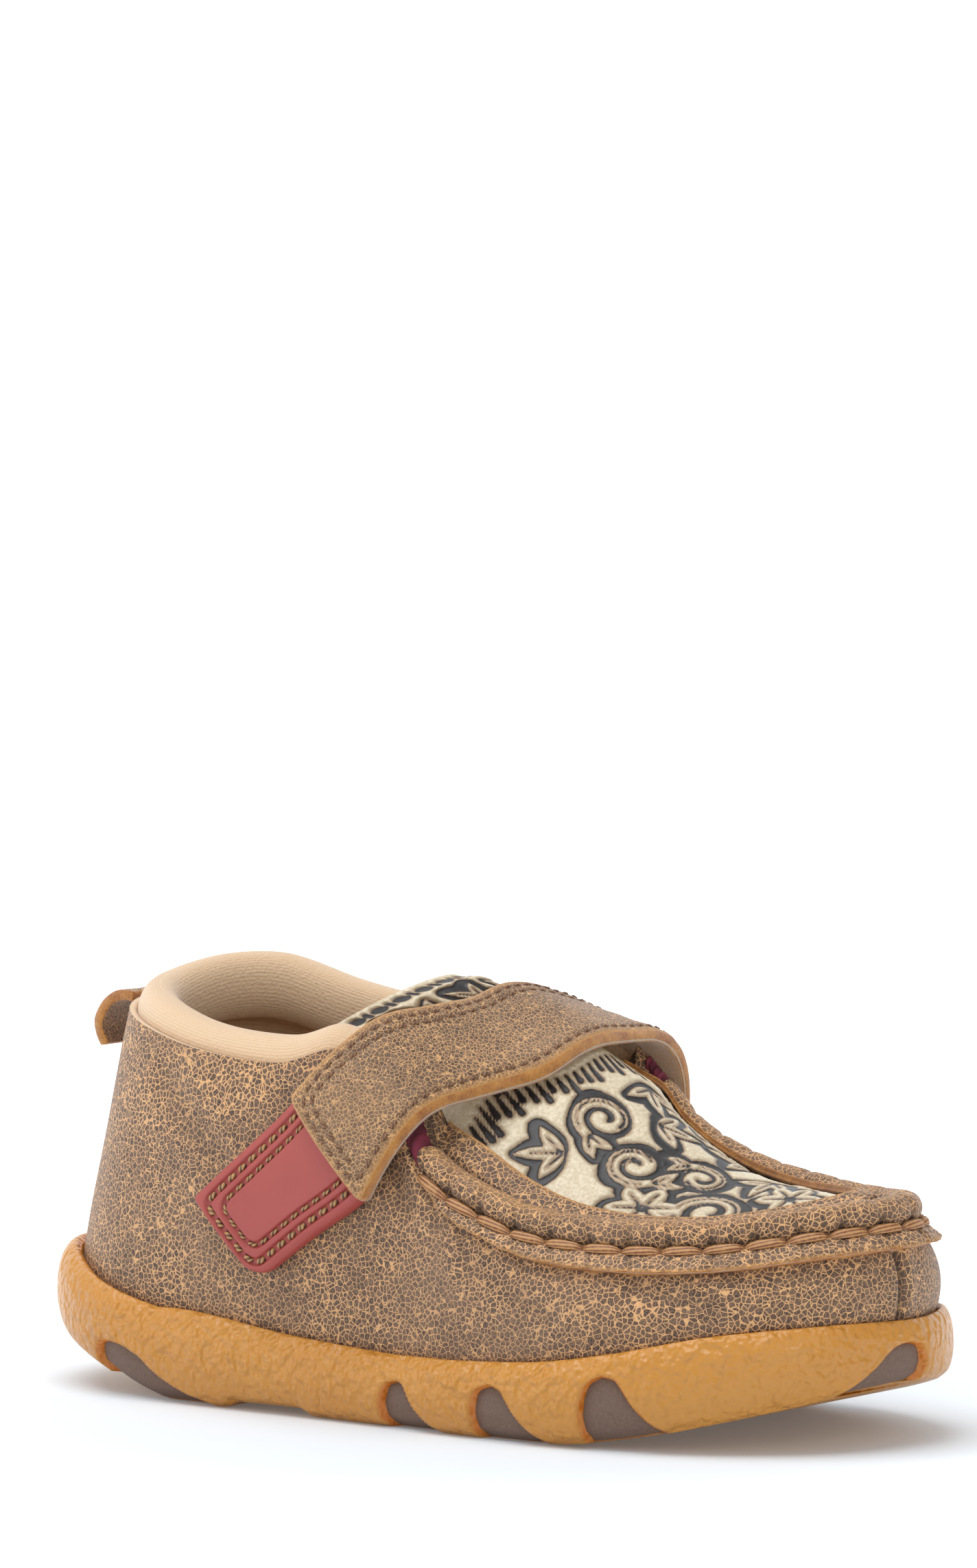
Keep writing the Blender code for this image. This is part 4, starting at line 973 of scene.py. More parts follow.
# %% [markdown]
# ## Plug and tongue
# The plug over the toes and the tongue behind it are one sheet of ivory leather. It is tooled: scrolls, leaves and
# flowers are pressed in with a swivel knife and bevelled, and the ground beside them is stained blue-black.
# The ornament here is a loose garland drawn by formulas: spirals, leaves, flowers and dots. What is kept
# on the mesh is the distance to the nearest line in millimetres, because a distance stays sharp between two
# points where a painted value would blur.
# %% Crown of plug and tongue
# Rows: rib, x, y, z, bend; behind the throat also edge_x, lateral_z, medial_z
PLUG_ROWS = (
    (11.74, 0.441, 0.03, 0.580, 1.00),
    (11.30, 0.420, 0.03, 0.592, 1.05),
    (10.85, 0.391, 0.03, 0.602, 1.10),
    (10.25, 0.347, 0.04, 0.613, 1.15),
    (9.60, 0.300, 0.05, 0.620, 1.15),
    (9.00, 0.256, 0.06, 0.645, 1.15),
    (8.35, 0.208, 0.06, 0.705, 1.10),
    (7.80, 0.164, 0.06, 0.778, 1.05),
    (7.30, 0.120, 0.06, 0.858, 0.95),
)
TONGUE_ROWS = (
    (6.60, 0.078, 0.09, 0.930, 0.80, -0.015, 0.790, 0.890),
    (6.20, 0.036, 0.10, 0.993, 0.70, -0.062, 0.860, 0.930),
    (5.70, -0.010, 0.09, 1.052, 0.62, -0.105, 0.905, 0.950),
    (5.20, -0.042, 0.05, 1.100, 0.56, -0.138, 0.925, 0.940),
    (4.70, -0.064, 0.04, 1.122, 0.52, -0.165, 0.935, 0.945),
)


def crown_section(row):
    """Edges, crown and bend of one row of the sheet."""
    rib, x, y, z, bend = row[:5]
    crown = (x * SOLE_LENGTH, y * SOLE_WIDTH, z * UPPER_HEIGHT, bend)
    pair = np.array((rib, RIB_COUNT - rib))
    top = wall_top(pair)
    if len(row) == 5:
        lateral, medial = top - outward(wall_top, pair) * (WALL + PLUG_TUCK)
        return (*lateral, *medial, *crown)
    edge_x, lateral_z, medial_z = row[5:]
    inset = WALL + PAD_WIDTH + TONGUE_ROOM
    lateral = (edge_x * SOLE_LENGTH, top[0, 1] + inset, lateral_z * UPPER_HEIGHT)
    return (*lateral, edge_x * SOLE_LENGTH, top[1, 1] - inset, medial_z * UPPER_HEIGHT, *crown)


PLUG_SECTIONS = [crown_section(row) for row in PLUG_ROWS + TONGUE_ROWS]


def plug_point(place, share):
    """Top face of plug and tongue: place counts rows from the toe, share runs lateral to medial."""
    values = curve(PLUG_SECTIONS, place)
    lateral, medial, crown = values[..., 0:3], values[..., 3:6], values[..., 6:9]
    swell = np.maximum(np.cos(np.pi * (share - 0.5)), 0.0) ** values[..., 9]
    flat = lateral + (medial - lateral) * share[..., None]
    return flat + (crown - (lateral + medial) / 2.0) * swell[..., None]


PLUG_LINES = 290
PLUG_COLUMNS = 160
plug_places = np.linspace(0.0, len(PLUG_SECTIONS) - 1, PLUG_LINES)
plug_shares = 0.5 - 0.5 * np.cos(np.pi * np.linspace(0.02, 0.98, PLUG_COLUMNS)) / math.cos(0.02 * math.pi)
places, shares = np.meshgrid(plug_places, plug_shares, indexing="ij")
plug_top = plug_point(places, shares)
across_mm = lengths_along(np.swapaxes(plug_top, 0, 1)).T * 1000.0
across_mm = across_mm - across_mm[:, PLUG_COLUMNS // 2][:, None]
along_mm = lengths_along(plug_top[:, PLUG_COLUMNS // 2])[:, None] * 1000.0 * np.ones((1, PLUG_COLUMNS))
print("plug and tongue, mm long:", round(float(along_mm.max()), 1), "wide:", round(float(np.ptp(across_mm)), 1))


# %% Shapes of the tooled ornament
def arc_line(x, y, start_radius, end_radius, start_turn, end_turn, start_width, end_width, count=26):
    """A spiral stroke; turns in degrees, everything else in millimetres."""
    share = np.linspace(0.0, 1.0, count)
    turn = np.radians(start_turn + (end_turn - start_turn) * share)
    radius = start_radius + (end_radius - start_radius) * share
    width = start_width + (end_width - start_width) * share
    return np.stack([x + radius * np.cos(turn), y + radius * np.sin(turn), width / 2.0], axis=-1)


def heading(turn):
    """Direction of a turn in degrees."""
    return np.array((math.cos(math.radians(turn)), math.sin(math.radians(turn))))


def straight(x, y, turn, near, far, near_width, far_width):
    """A tapered stroke that points away from a centre."""
    ends = np.array((x, y)) + heading(turn) * np.array(((near,), (far,)))
    return np.column_stack([ends, (near_width / 2.0, far_width / 2.0)])


def petal(x, y, turn, near, length, width, bend=0.0, count=12):
    """A petal that stays ivory, and the cut of its vein."""
    share = np.linspace(0.0, 1.0, count)
    ahead, aside = heading(turn), heading(turn + 90.0)
    middle = np.array((x, y)) + ahead * (near + share * length)[:, None] + aside * (bend * share ** 2)[:, None]
    half = width / 2.0 * np.sin(np.pi * (0.08 + 0.90 * share ** 0.85))
    vein = np.linspace(0.20, 0.05, count)[:, None]
    return [np.concatenate([middle, half[:, None]], axis=1)], [np.concatenate([middle, vein], axis=1)[: count - 4]]


def together(parts):
    """Ribbons and cuts of several shapes."""
    return [line for ribbons, _ in parts for line in ribbons], [line for _, cuts in parts for line in cuts]


def flower(x, y, size, turn):
    """Six petals round a punched heart."""
    ribbons, cuts = together([petal(x, y, turn + 60.0 * leaf, 0.13 * size, 0.40 * size, 0.30 * size)
                              for leaf in range(6)])
    heart = arc_line(x, y, 0.085 * size, 0.085 * size, 0.0, 360.0, 0.32, 0.32, 9)
    return ribbons, cuts + [heart]


def scroll(x, y, radius, start, sweep):
    """A curled ribbon with a cut along it, a leaf at its mouth and hatching inside its curl."""
    ribbons = [arc_line(x, y, radius, 0.18 * radius, start, start + sweep, 0.36 * radius, 0.50 * radius, 34)]
    cuts = [arc_line(x, y, 0.98 * radius, 0.60 * radius, start + 0.04 * sweep, start + 0.62 * sweep, 0.16, 0.42)]
    way = -1.0 if sweep > 0.0 else 1.0
    mouth = start + 6.0 * way
    foot = np.array((x, y)) + radius * heading(mouth)
    leaves = together([petal(*foot, mouth + turn * way, 0.2, 0.95 * radius, 0.42 * radius, 0.25 * radius * way)
                       for turn in (30.0, 78.0)])
    ribbons, cuts = ribbons + leaves[0], cuts + leaves[1]
    for step in range(6):
        turn = start + sweep * (0.20 + 0.045 * step)
        cuts.append(straight(x, y, turn, (1.02 - 0.02 * step) * radius, (1.22 - 0.02 * step) * radius, 0.34, 0.12))
    return ribbons, cuts


def spray(x, y, size, turn):
    """Three leaves from one foot."""
    return together([petal(x, y, turn + fan, 0.3, size * share, size * 0.34, bend)
                     for fan, share, bend in ((-44.0, 0.8, -0.8), (0.0, 1.05, 0.5), (46.0, 0.8, 0.9))])


# %% Lay the ornament out
# Each letter is a motif: S a scroll, L a spray of leaves, F a flower
MOTIF_ROWS = ("SLS", "LFSL", "SLS", "FSLS", "SLF", "LSLS", "SFL", "LSLF", "SLS", "LFSL", "SLS", "LSFL")
MOTIF_STEP = 8.2                     # millimetres between rows of motifs
MOTIF_WIDE = 10.6                    # and between motifs of a row
SCROLL_SIZE = 3.9                    # mean radius of a scroll
SCROLL_TURN = 430.0                  # degrees that a scroll winds through
FLOWER_SIZE = 9.4
SPRAY_SIZE = 6.2
SPRAY_BACK = 2.6                     # from a spray's middle to its foot
GOLDEN_TURN = 137.5                  # degrees from one motif to the next, so that none lines up
BEAD_STEP = 3.6                      # millimetres between the beads along the tongue's end
FRINGE_STEP = 1.45                   # and between the tassels of the fringe
BEAD_ROW = 2.0                       # from the tongue's end
FRINGE_X = (0.0136, 0.0069)          # where the fringe ends: on the crown and low on the lateral side
FRINGE_CLEAR = 5.6                   # millimetres kept free of motifs
LINE_GAP = 0.08                      # the stain starts this far beside a ribbon
HALO = (0.40, 1.70)                  # and reaches this far, narrow on one side and wide on the other


def fringe_line(x):
    """Place of the fringe along the sheet, in millimetres, at a distance across it."""
    column = int(np.interp(x, across_mm[PLUG_LINES // 2], np.arange(PLUG_COLUMNS)))
    target = FRINGE_X[0] + (FRINGE_X[1] - FRINGE_X[0]) * float(smooth_step(2.0, 20.0, -x))
    return float(np.interp(-target, -plug_top[:, column, 0], along_mm[:, 0]))


def garland():
    """The ornament's ribbons, which stay ivory, and its cuts: across, along and half width in millimetres."""
    motifs = []
    for row, letters in enumerate(MOTIF_ROWS):
        for column, letter in enumerate(letters):
            mark = 7 * row + 3 * column
            x = (column - (len(letters) - 1) / 2.0) * MOTIF_WIDE + 1.3 * math.sin(2.1 * mark)
            y = 3.0 + MOTIF_STEP * row + 1.1 * math.sin(3.3 * mark)
            turn = (GOLDEN_TURN * mark) % 360.0
            if -3.0 < fringe_line(x) - y < FRINGE_CLEAR or y > along_mm.max() - FRINGE_CLEAR:
                continue
            if letter == "S":
                winding = SCROLL_TURN if mark % 2 else -SCROLL_TURN
                motifs.append(scroll(x, y, SCROLL_SIZE + 0.5 * math.sin(mark), turn, winding))
            elif letter == "F":
                motifs.append(flower(x, y, FLOWER_SIZE, turn))
            else:
                motifs.append(spray(*(np.array((x, y)) - SPRAY_BACK * heading(turn)), SPRAY_SIZE, turn))
    ribbons, cuts = together(motifs)
    end_line = float(along_mm.max()) - BEAD_ROW
    for step in range(-6, 7):
        x = BEAD_STEP * step
        cuts.append(np.array(((x - 1.15, end_line, 0.05), (x, end_line, 1.15), (x + 1.15, end_line, 0.05))))
        cuts.append(np.array(((x + 1.8, end_line - 0.7, 0.38), (x + 1.8, end_line + 0.7, 0.38))))
        small = spray(x, end_line - 6.4, 4.2, 60.0 + 70.0 * (step % 2))
        if step % 2:
            ribbons, cuts = ribbons + small[0], cuts + small[1]
    for step in range(-17, 18):
        x, tilt = FRINGE_STEP * step, 0.035 * step
        foot = fringe_line(x)
        cuts.append(np.array(((x, foot, 0.22), (x + tilt, foot - 2.1 - 0.8 * (step % 3), 0.52))))
    return ribbons, cuts


def stroke_distance(x, y, strokes, reach=3.0):
    """Distance in millimetres to the nearest stroke, negative inside its width."""
    best = np.full(x.shape, reach)
    for stroke in strokes:
        low, high = stroke[:, :2].min(0) - reach, stroke[:, :2].max(0) + reach
        near = (x > low[0]) & (x < high[0]) & (y > low[1]) & (y < high[1])
        if not near.any():
            continue
        points = np.stack([x[near], y[near]], axis=-1)[:, None]
        start, end = stroke[:-1], stroke[1:]
        run = end[:, :2] - start[:, :2]
        share = np.clip(((points - start[:, :2]) * run).sum(-1) / np.maximum((run * run).sum(-1), 1e-12), 0.0, 1.0)
        gap = np.linalg.norm(points - start[:, :2] - share[..., None] * run, axis=-1)
        gap = gap - (start[:, 2] + share * (end[:, 2] - start[:, 2]))
        best[near] = np.minimum(best[near], gap.min(axis=1))
    return best


ribbon_lines, cut_lines = garland()
beside = stroke_distance(across_mm, along_mm, ribbon_lines)
halo = HALO[0] + (HALO[1] - HALO[0]) * (0.5 + 0.5 * np.sin(0.55 * across_mm + 0.8) * np.sin(0.48 * along_mm))
tooling = np.minimum(stroke_distance(across_mm, along_mm, cut_lines), np.maximum(LINE_GAP - beside, beside - halo))
print("share of the sheet that is stained:", round(float((tooling < 0.0).mean()), 2))


# %% Tooled ivory leather
def tooled_calf():
    """Vegetable-tanned calf, painted ivory, tooled and stained: soft wax shine, dark in the cuts."""
    material, tree, shader = start_material("tooled_painted_calf", 0.46, Coat_Weight=0.05, Coat_Roughness=0.45)
    place, cut = place_of(tree), kept(tree, "tooling")
    waver = spread(tree, noise(tree, place, 0.9, 3.0), 0.0, 1.0, -0.16, 0.16)
    clear = spread(tree, maths(tree, "ADD", cut, waver), -0.06, 0.07, kind="SMOOTHSTEP")
    freckle = noise(tree, place, 0.55, 4.0, 0.65)
    spots = spread(tree, freckle, 0.40, 0.62)
    ivory = blend(tree, spots, "#C6B697", "#DDD0B6")
    stain = blend(tree, spots, "#141112", "#241F20")
    bevel = blend(tree, spread(tree, cut, 0.0, 0.40), "#9C7F62", ivory)
    tree.links.new(blend(tree, clear, stain, bevel), shader.inputs["Base Color"])
    form = spread(tree, cut, -0.35, 0.75, kind="SMOOTHERSTEP")
    relief = bump(tree, shader, form, 0.00045, 0.8)
    bump(tree, shader, freckle, 0.00008, 0.5, relief)
    return material


TOOLED = tooled_calf()

# %% Build plug and tongue
NO_CUT = 3.0                         # millimetres to the next cut, for points below the surface
PLUG_WAVE = 0.00018
CUT_DEPTH = 0.00030
CURL = 0.0014                        # how far the tongue's end bends down
CURL_LENGTH = 0.0060
sag = PLUG_WAVE * ripple(plug_top, 0.026, 3.0) - CUT_DEPTH * (1.0 - smooth_step(-0.4, 0.7, tooling))
plug_normals = normals_of(plug_top)
plug_normals = plug_normals * np.sign(plug_normals[PLUG_LINES // 3, PLUG_COLUMNS // 2, 2])
curl = smooth_step(-CURL_LENGTH, 0.0, (along_mm - along_mm.max()) / 1000.0) ** 2 * CURL
plug_top = plug_top - plug_normals * curl[..., None]
plug_face = plug_top + plug_normals * sag[..., None]
plug_under = plug_top - plug_normals * PLUG_THICKNESS
points, quads, zones = slab(plug_face, plug_under, 5, 0.0002)
plug = make_piece("tooled_plug_tongue", points, quads, [TOOLED, KNIT, RAW_EDGE], np.minimum(zones, 2), {
    "tooling": kept_on(points, tooling, other=NO_CUT),
    "rib_place": kept_on(points, along_mm, first=along_mm.size)})
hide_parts("plug_tongue")
plug_tree = BVHTree.FromPolygons(plug_top.reshape(-1, 3).tolist(), grid_faces(PLUG_LINES, PLUG_COLUMNS).tolist())

# %% [markdown]
# ## Roll and band
# Around the plug the upper's edge is gathered over a cord into a roll, and its margin lies as a flat band over the
# plug's edge. The section of the roll is carried along the seam. At every needle hole the thread pulls the
# roll in, so its foot is slightly scalloped.
# %% Build roll and band
RIM_LINES = 680
ROLL_SHAPE = ((0.02, -0.16), (0.25, 0.34), (0.11, 0.80), (-0.38, 1.0), (-0.86, 0.84))
ROLL_OVERRUN = 0.60                  # ribs that the roll runs on inside the gore
ROLL_SMALL = 0.70                    # its size there
ROLL_STEP = (-0.07, 0.03)            # ribs from the gore's front edge where it grows
ROLL_WAVE = 0.05
ROLL_PULL = 0.00050                  # how far stitches pull its foot in
ROLL_PRESS = 0.09                    # and press its crown down, as a share
HEIGHT_REACH = 6                     # lines on each side that a read height is averaged over
BAND_SHARES = (0.60, 0.74, 0.88, 0.985)
VALLEY = 0.53
VALLEY_DROP = 0.0007
BAND_WAVE = 0.00012
# Points along the section, in places counted in knots: roll and band, the band's cut edge, its underside
SECTION_RUNS = ((0.0, 9.0, 44), (9.12, 10.88, 8), (11.0, 12.6, 6))
CREST, VALLEY_KNOT, CUT_KNOT = 2.9, 5.0, 9.0
rim_span = np.linspace(RIM_START - ROLL_OVERRUN, RIB_COUNT - RIM_START + ROLL_OVERRUN, SEAM_STEPS)
rim_lengths = lengths_along(wall_top(rim_span))
rim_ribs = np.interp(np.linspace(0.0, rim_lengths[-1], RIM_LINES), rim_lengths, rim_span)
roll_grown = smooth_step(*(RIM_START + step for step in ROLL_STEP), side_of(rim_ribs))
roll_size = ROLL_SMALL + (1.0 - ROLL_SMALL) * roll_grown
seam = wall_top(rim_ribs)
seam_out = outward(wall_top, rim_ribs)


def smoothed(values, reach):
    """Values averaged along a line."""
    padded = np.concatenate([np.repeat(values[:1], reach, 0), values, np.repeat(values[-1:], reach, 0)])
    total = np.cumsum(np.concatenate([np.zeros_like(padded[:1]), padded]), axis=0)
    span = 2 * reach + 1
    return (total[span:] - total[:-span]) / span


def height_over(tree, points, fallback):
    """Heights of a surface below points."""
    heights = []
    for point, other in zip(points, fallback):
        hit = tree.ray_cast(Vector((point[0], point[1], FAR)), Vector((0.0, 0.0, -1.0)))[0]
        heights.append(hit.z if hit else other)
    return smoothed(np.array(heights), HEIGHT_REACH)


def beside_seam(share, rise):
    """A line inside the seam, at a share of the band's width, standing on the plug."""
    line = seam - seam_out * share * BAND_WIDTH
    line[:, 2] = height_over(plug_tree, line, seam[:, 2]) + 2.0 * GAP + rise
    return line


def tucked(line, out):
    """A line inside the wall's top edge, where the plug lies."""
    return line - out * (WALL + 0.5 * PLUG_TUCK) + np.array((0.0, 0.0, GAP))


pull = hole_nearness(rim_ribs, 4.0)
swollen = 1.0 + ROLL_WAVE * ripple(seam, 0.012, 5.0)
knots = []
for out, rise in ROLL_SHAPE:
    line = seam + seam_out * (out * ROLL_WIDTH * roll_size - ROLL_PULL * pull * (rise < 0.9))[:, None]
    line[:, 2] = seam[:, 2] + GAP + rise * (ROLL_HEIGHT - GAP) * (swollen - ROLL_PRESS * pull) * roll_size
    knots.append(line)
knots.append(beside_seam(VALLEY, BAND_THICKNESS - VALLEY_DROP))
band_wave = BAND_WAVE * ripple(seam, 0.016, 6.0)
knots += [beside_seam(share, BAND_THICKNESS + band_wave) for share in BAND_SHARES]
knots += [beside_seam(1.0, BAND_THICKNESS * 0.5), beside_seam(BAND_SHARES[-1], 0.0),
          beside_seam(BAND_SHARES[0], 0.0), tucked(seam, seam_out)]
section_places = np.concatenate([np.linspace(*run) for run in SECTION_RUNS])
rim_points = np.stack([curve(np.array(section), section_places) for section in np.stack(knots, axis=1)])
quads, caps = sweep_faces_of(RIM_LINES, rim_points.shape[1])
column = np.arange(len(quads)) % rim_points.shape[1]
first_cut, last_cut = SECTION_RUNS[0][2] - 1, SECTION_RUNS[0][2] + SECTION_RUNS[1][2]
zones = np.where((column >= first_cut) & (column < last_cut), 1, 0)
rim_rub = 0.55 * bell(section_places - CREST, 0.8)[None] * (0.5 + 0.5 * ripple(rim_points, 0.015, 12.0))
rim_rub += bell(section_places - CUT_KNOT, 0.42)[None]
# Painted shade in the valley between roll and band, and at the roll's foot by each needle hole.
rim_painted_shade = 0.7 * bell(section_places - VALLEY_KNOT, 0.5)[None] + 0.7 * pull[:, None] * (section_places < 1.2)
rim = make_piece("roll_and_band", rim_points, quads, [NUBUCK, RAW_EDGE], zones,
                 {"rub": np.clip(rim_rub, 0.0, 1.0), "painted_shade": rim_painted_shade}, caps)
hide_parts("apron_rim")

# %% [markdown]
# ## Thread
# Every stitch is a short length of waxed thread that rises from one needle hole and dives into the next.
# Stitches are made together: one small tube, repeated along a measured line by array arithmetic, with the
# twist of its plies in its form and as painted shade between them, darker too towards each needle hole.
# %% Thread and the sewing function
def waxed_thread(name, bright_hex, dark_hex):
    """Waxed polyester thread: satin, painted darker as shade where the plies meet and where it dives into the
    leather.
    """
    material, tree, shader = start_material(name, 0.55, ior=1.54)
    dirt = noise(tree, place_of(tree), 0.6)
    share = spread(tree, maths(tree, "ADD", kept(tree, "ply_shading"), dirt), 0.55, 1.25)
    tree.links.new(blend(tree, share, dark_hex, bright_hex), shader.inputs["Base Color"])
    bump(tree, shader, dirt, 0.00006, 0.5)
    return material


MOC_THREAD = waxed_thread("waxed_moccasin_thread", "#B98A56", "#6E3A20")
FINE_THREAD = waxed_thread("waxed_fine_thread", "#87603F", "#46291B")
END_THREAD = waxed_thread("waxed_end_thread", "#B48A58", "#45241A")


def sew(name, path, normals, material, pitch, length, width, height, lift, twists=2.0, rings=12, sides=10,
        plies=2, blunt=6):
    """Stitches along a line of points; all sizes in metres, length as a share of the pitch."""
    lengths = lengths_along(path)
    count = max(int(round(lengths[-1] / pitch)), 1)
    real_pitch = lengths[-1] / count
    share = np.linspace(0.0, 1.0, rings)
    starts = (np.arange(count) + 0.5 - length / 2.0) * real_pitch
    at = starts[:, None] + share[None] * length * real_pitch

    def follow(values):
        return np.stack([np.interp(at, lengths, values[:, axis]) for axis in range(3)], axis=-1)

    centre, normal = follow(path), unit(follow(normals))
    tangent = unit(np.gradient(centre, axis=1))
    side = unit(np.cross(tangent, normal))
    swing = 2.0 * share - 1.0
    taper = np.sqrt(np.maximum(1.0 - np.abs(swing) ** blunt, 0.02))[None, :, None, None]
    bend = (1.0 - swing ** 4)[None, :, None]
    middle = 1.0 - 0.35 * swing[None, :, None] ** 2
    centre = centre + normal * (lift * bend - 0.55 * height * (1.0 - bend))
    angle = np.linspace(0.0, 2.0 * np.pi, sides, endpoint=False)[None, None, :, None]
    twist = np.cos(plies * angle - 2.0 * np.pi * twists * share[None, :, None, None])
    thick = (1.0 + 0.32 / plies * twist) * taper
    points = centre[:, :, None] + side[:, :, None] * np.cos(angle) * thick * width / 2.0
    points = points + normal[:, :, None] * np.sin(angle) * thick * height / 2.0
    one = grid_faces(rings, sides, close_columns=True)
    numbers = rings * sides
    quads = (one[None] + (np.arange(count) * numbers)[:, None, None]).reshape(-1, 4)
    caps = [end for first in range(0, count * numbers, numbers)
            for end in (range(first + sides - 1, first - 1, -1), range(first + numbers - sides, first + numbers))]
    # Painted shade: dark between the plies and towards both ends of each stitch, where it dives into the leather.
    ply_shading = np.broadcast_to((0.5 + 0.5 * twist[..., 0]) * middle, points.shape[:-1])
    return make_piece(name, points, quads, [material], caps=caps, values={"ply_shading": ply_shading})


# %% Sew the moccasin seam
MOC_WIDTH = 0.00135
MOC_HEIGHT = 0.00080
MOC_OUT = 0.00110                    # where the thread lies, from the seam
MOC_DROP = 0.00025
MOC_LEAN = (0.80, 0.60)              # its upper side faces out and up
seam_away = outward(wall_top, seam_line)
path = wall_top(seam_line) + seam_away * MOC_OUT - np.array((0.0, 0.0, MOC_DROP))
path_normal = unit(seam_away * MOC_LEAN[0] + np.array((0.0, 0.0, MOC_LEAN[1])))
moc_stitches = sew("moccasin_stitches", path, path_normal, MOC_THREAD, pitch=STITCH_PITCH, length=1.04,
                   width=MOC_WIDTH, height=MOC_HEIGHT, lift=0.00030, twists=0.8, rings=26, sides=30, plies=7, blunt=3)

# %% [markdown]
# ## Collar, gores and footbed
# The collar is padded: foam wrapped in the same ribbed knit that lines the shoe. Its ribs run round the opening.
# They are real ridges here, two hundredths of a millimetre high. Behind each end of the roll a scrap of
# burgundy elastic shows. The footbed is brushed cloth on foam.
# %% Build the padded collar
PAD_LINES = 300
PAD_POINTS = 116
PAD_RIBS = 56
RIB_HEIGHT = 0.00001
PAD_WHOLE = PAD_WIDTH + WALL - EDGE_WALL      # it fills what the skived leather leaves
PAD_GAP = 0.0001
PAD_SQUARE = (0.85, 0.92)            # powers that flatten the section across and upwards
PAD_PUFF = 0.035


def flattened(wave, power):
    """A sine or cosine that stays longer near its ends."""
    return np.sign(wave) * np.abs(wave) ** power


pad_ribs = np.linspace(-PAD_END, PAD_END, PAD_LINES)
pad_out = outward(wall_top, pad_ribs)
pad_centre = wall_top(pad_ribs) - pad_out * (EDGE_WALL + PAD_GAP + PAD_WHOLE / 2.0)
pad_drop = PAD_DIP * smooth_step(PAD_END - 1.1, PAD_END, np.abs(pad_ribs))
pad_centre[:, 2] += PAD_RISE - pad_drop - PAD_HEIGHT / 2.0
angle = np.linspace(0.0, 2.0 * np.pi, PAD_POINTS, endpoint=False)
ridge = RIB_HEIGHT * np.cos(PAD_RIBS * angle)
flat_x = flattened(np.cos(angle), PAD_SQUARE[0]) * PAD_WHOLE / 2.0
flat_z = flattened(np.sin(angle), PAD_SQUARE[1]) * PAD_HEIGHT / 2.0
reach = (1.0 + (ridge / (PAD_WIDTH / 2.0)))[None]
puff = 1.0 + PAD_PUFF * ripple(pad_centre, 0.019, 7.0)[:, None]
pad_points = pad_centre[:, None] + pad_out[:, None] * (flat_x[None] * reach * puff)[..., None]
pad_points[..., 2] += flat_z[None] * reach * puff
quads, caps = sweep_faces_of(PAD_LINES, PAD_POINTS)
pad_place = np.broadcast_to(angle / (2.0 * np.pi) * PAD_RIBS * KNIT_PITCH, pad_points.shape[:-1])
pad = make_piece("padded_collar", pad_points, quads, [KNIT], caps=caps, values={"rib_place": pad_place})
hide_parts("collar_pad")


# %% Build gores and footbed
WEAVE_SCALE = 1100.0 / 6.0           # ribs 1.7 mm apart


def woven_elastic():
    """Burgundy elastic webbing: matt, fine ribs."""
    material, tree, shader = start_material("woven_elastic", 0.85)
    inputs = {"Vector": place_of(tree), "Scale": WEAVE_SCALE, "Distortion": 1.0}
    weave = node(tree, "ShaderNodeTexWave", inputs).outputs["Fac"]
    tree.links.new(blend(tree, weave, "#4E1522", "#7A2A3C"), shader.inputs["Base Color"])
    bump(tree, shader, weave, 0.0001, 0.6)
    return material


ELASTIC = woven_elastic()
GORE_SIZE = 0.85                     # of the roll's section
GORE_LINES = 24
GORE_POINTS = 26
for side in ("lateral", "medial"):
    along = RIM_START - GORE_GAP - GORE_REACH * np.linspace(0.0, 1.0, GORE_LINES)
    rib = along if side == "lateral" else RIB_COUNT - along
    foot, out = wall_top(rib), outward(wall_top, rib)
    arch = through(ROLL_SHAPE, GORE_POINTS)
    bulge = GORE_SIZE * (1.0 + 0.03 * np.cos(np.linspace(0.0, 8.0 * np.pi, GORE_LINES)))
    points = foot[:, None] + out[:, None] * (arch[None, :, 0] * bulge[:, None] * ROLL_WIDTH)[..., None]
    points[..., 2] = foot[:, None, 2] + GAP + arch[None, :, 1] * (ROLL_HEIGHT - GAP) * bulge[:, None]
    points = np.concatenate([points, tucked(foot, out)[:, None]], axis=1)
    quads, caps = sweep_faces_of(*points.shape[:2])
    gore = make_piece(f"elastic_gore_{side}", points, quads, [ELASTIC], caps=caps)
    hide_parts(f"gore_{side}")

BED_COLUMNS = 360
BED_STEPS = 12
# Rings up the footbed's side: share of its thickness, distance drawn in
BED_RINGS = ((0.25, 0.0), (0.75, 0.0), (0.95, 0.0003), (1.0, 0.0008))
bed_ribs = even_ribs(BED_COLUMNS)
bed = floor_line(bed_ribs, WALL + 3.0 * GAP)
rim_of_bed = [bed]
for share, drawn in BED_RINGS:
    ring = bed - outward(outline, bed_ribs) * drawn
    ring[:, 2] = bed[:, 2] + share * INSOLE_THICKNESS
    rim_of_bed.append(ring)
bed_points = np.concatenate(rim_of_bed)
bed_quads = grid_faces(len(rim_of_bed), BED_COLUMNS, close_columns=True)
bed_points, low_quads = close_ring(bed_points, 0, BED_COLUMNS, BED_STEPS)
bed_points, top_quads = close_ring(bed_points, (len(rim_of_bed) - 1) * BED_COLUMNS, BED_COLUMNS, BED_STEPS)
bed_quads = np.concatenate([bed_quads, low_quads, top_quads])
footbed = make_piece("cloth_footbed", bed_points, bed_quads, [KNIT], values={"rib_place": bed_points[:, 1] * 1000.0})
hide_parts("insole")

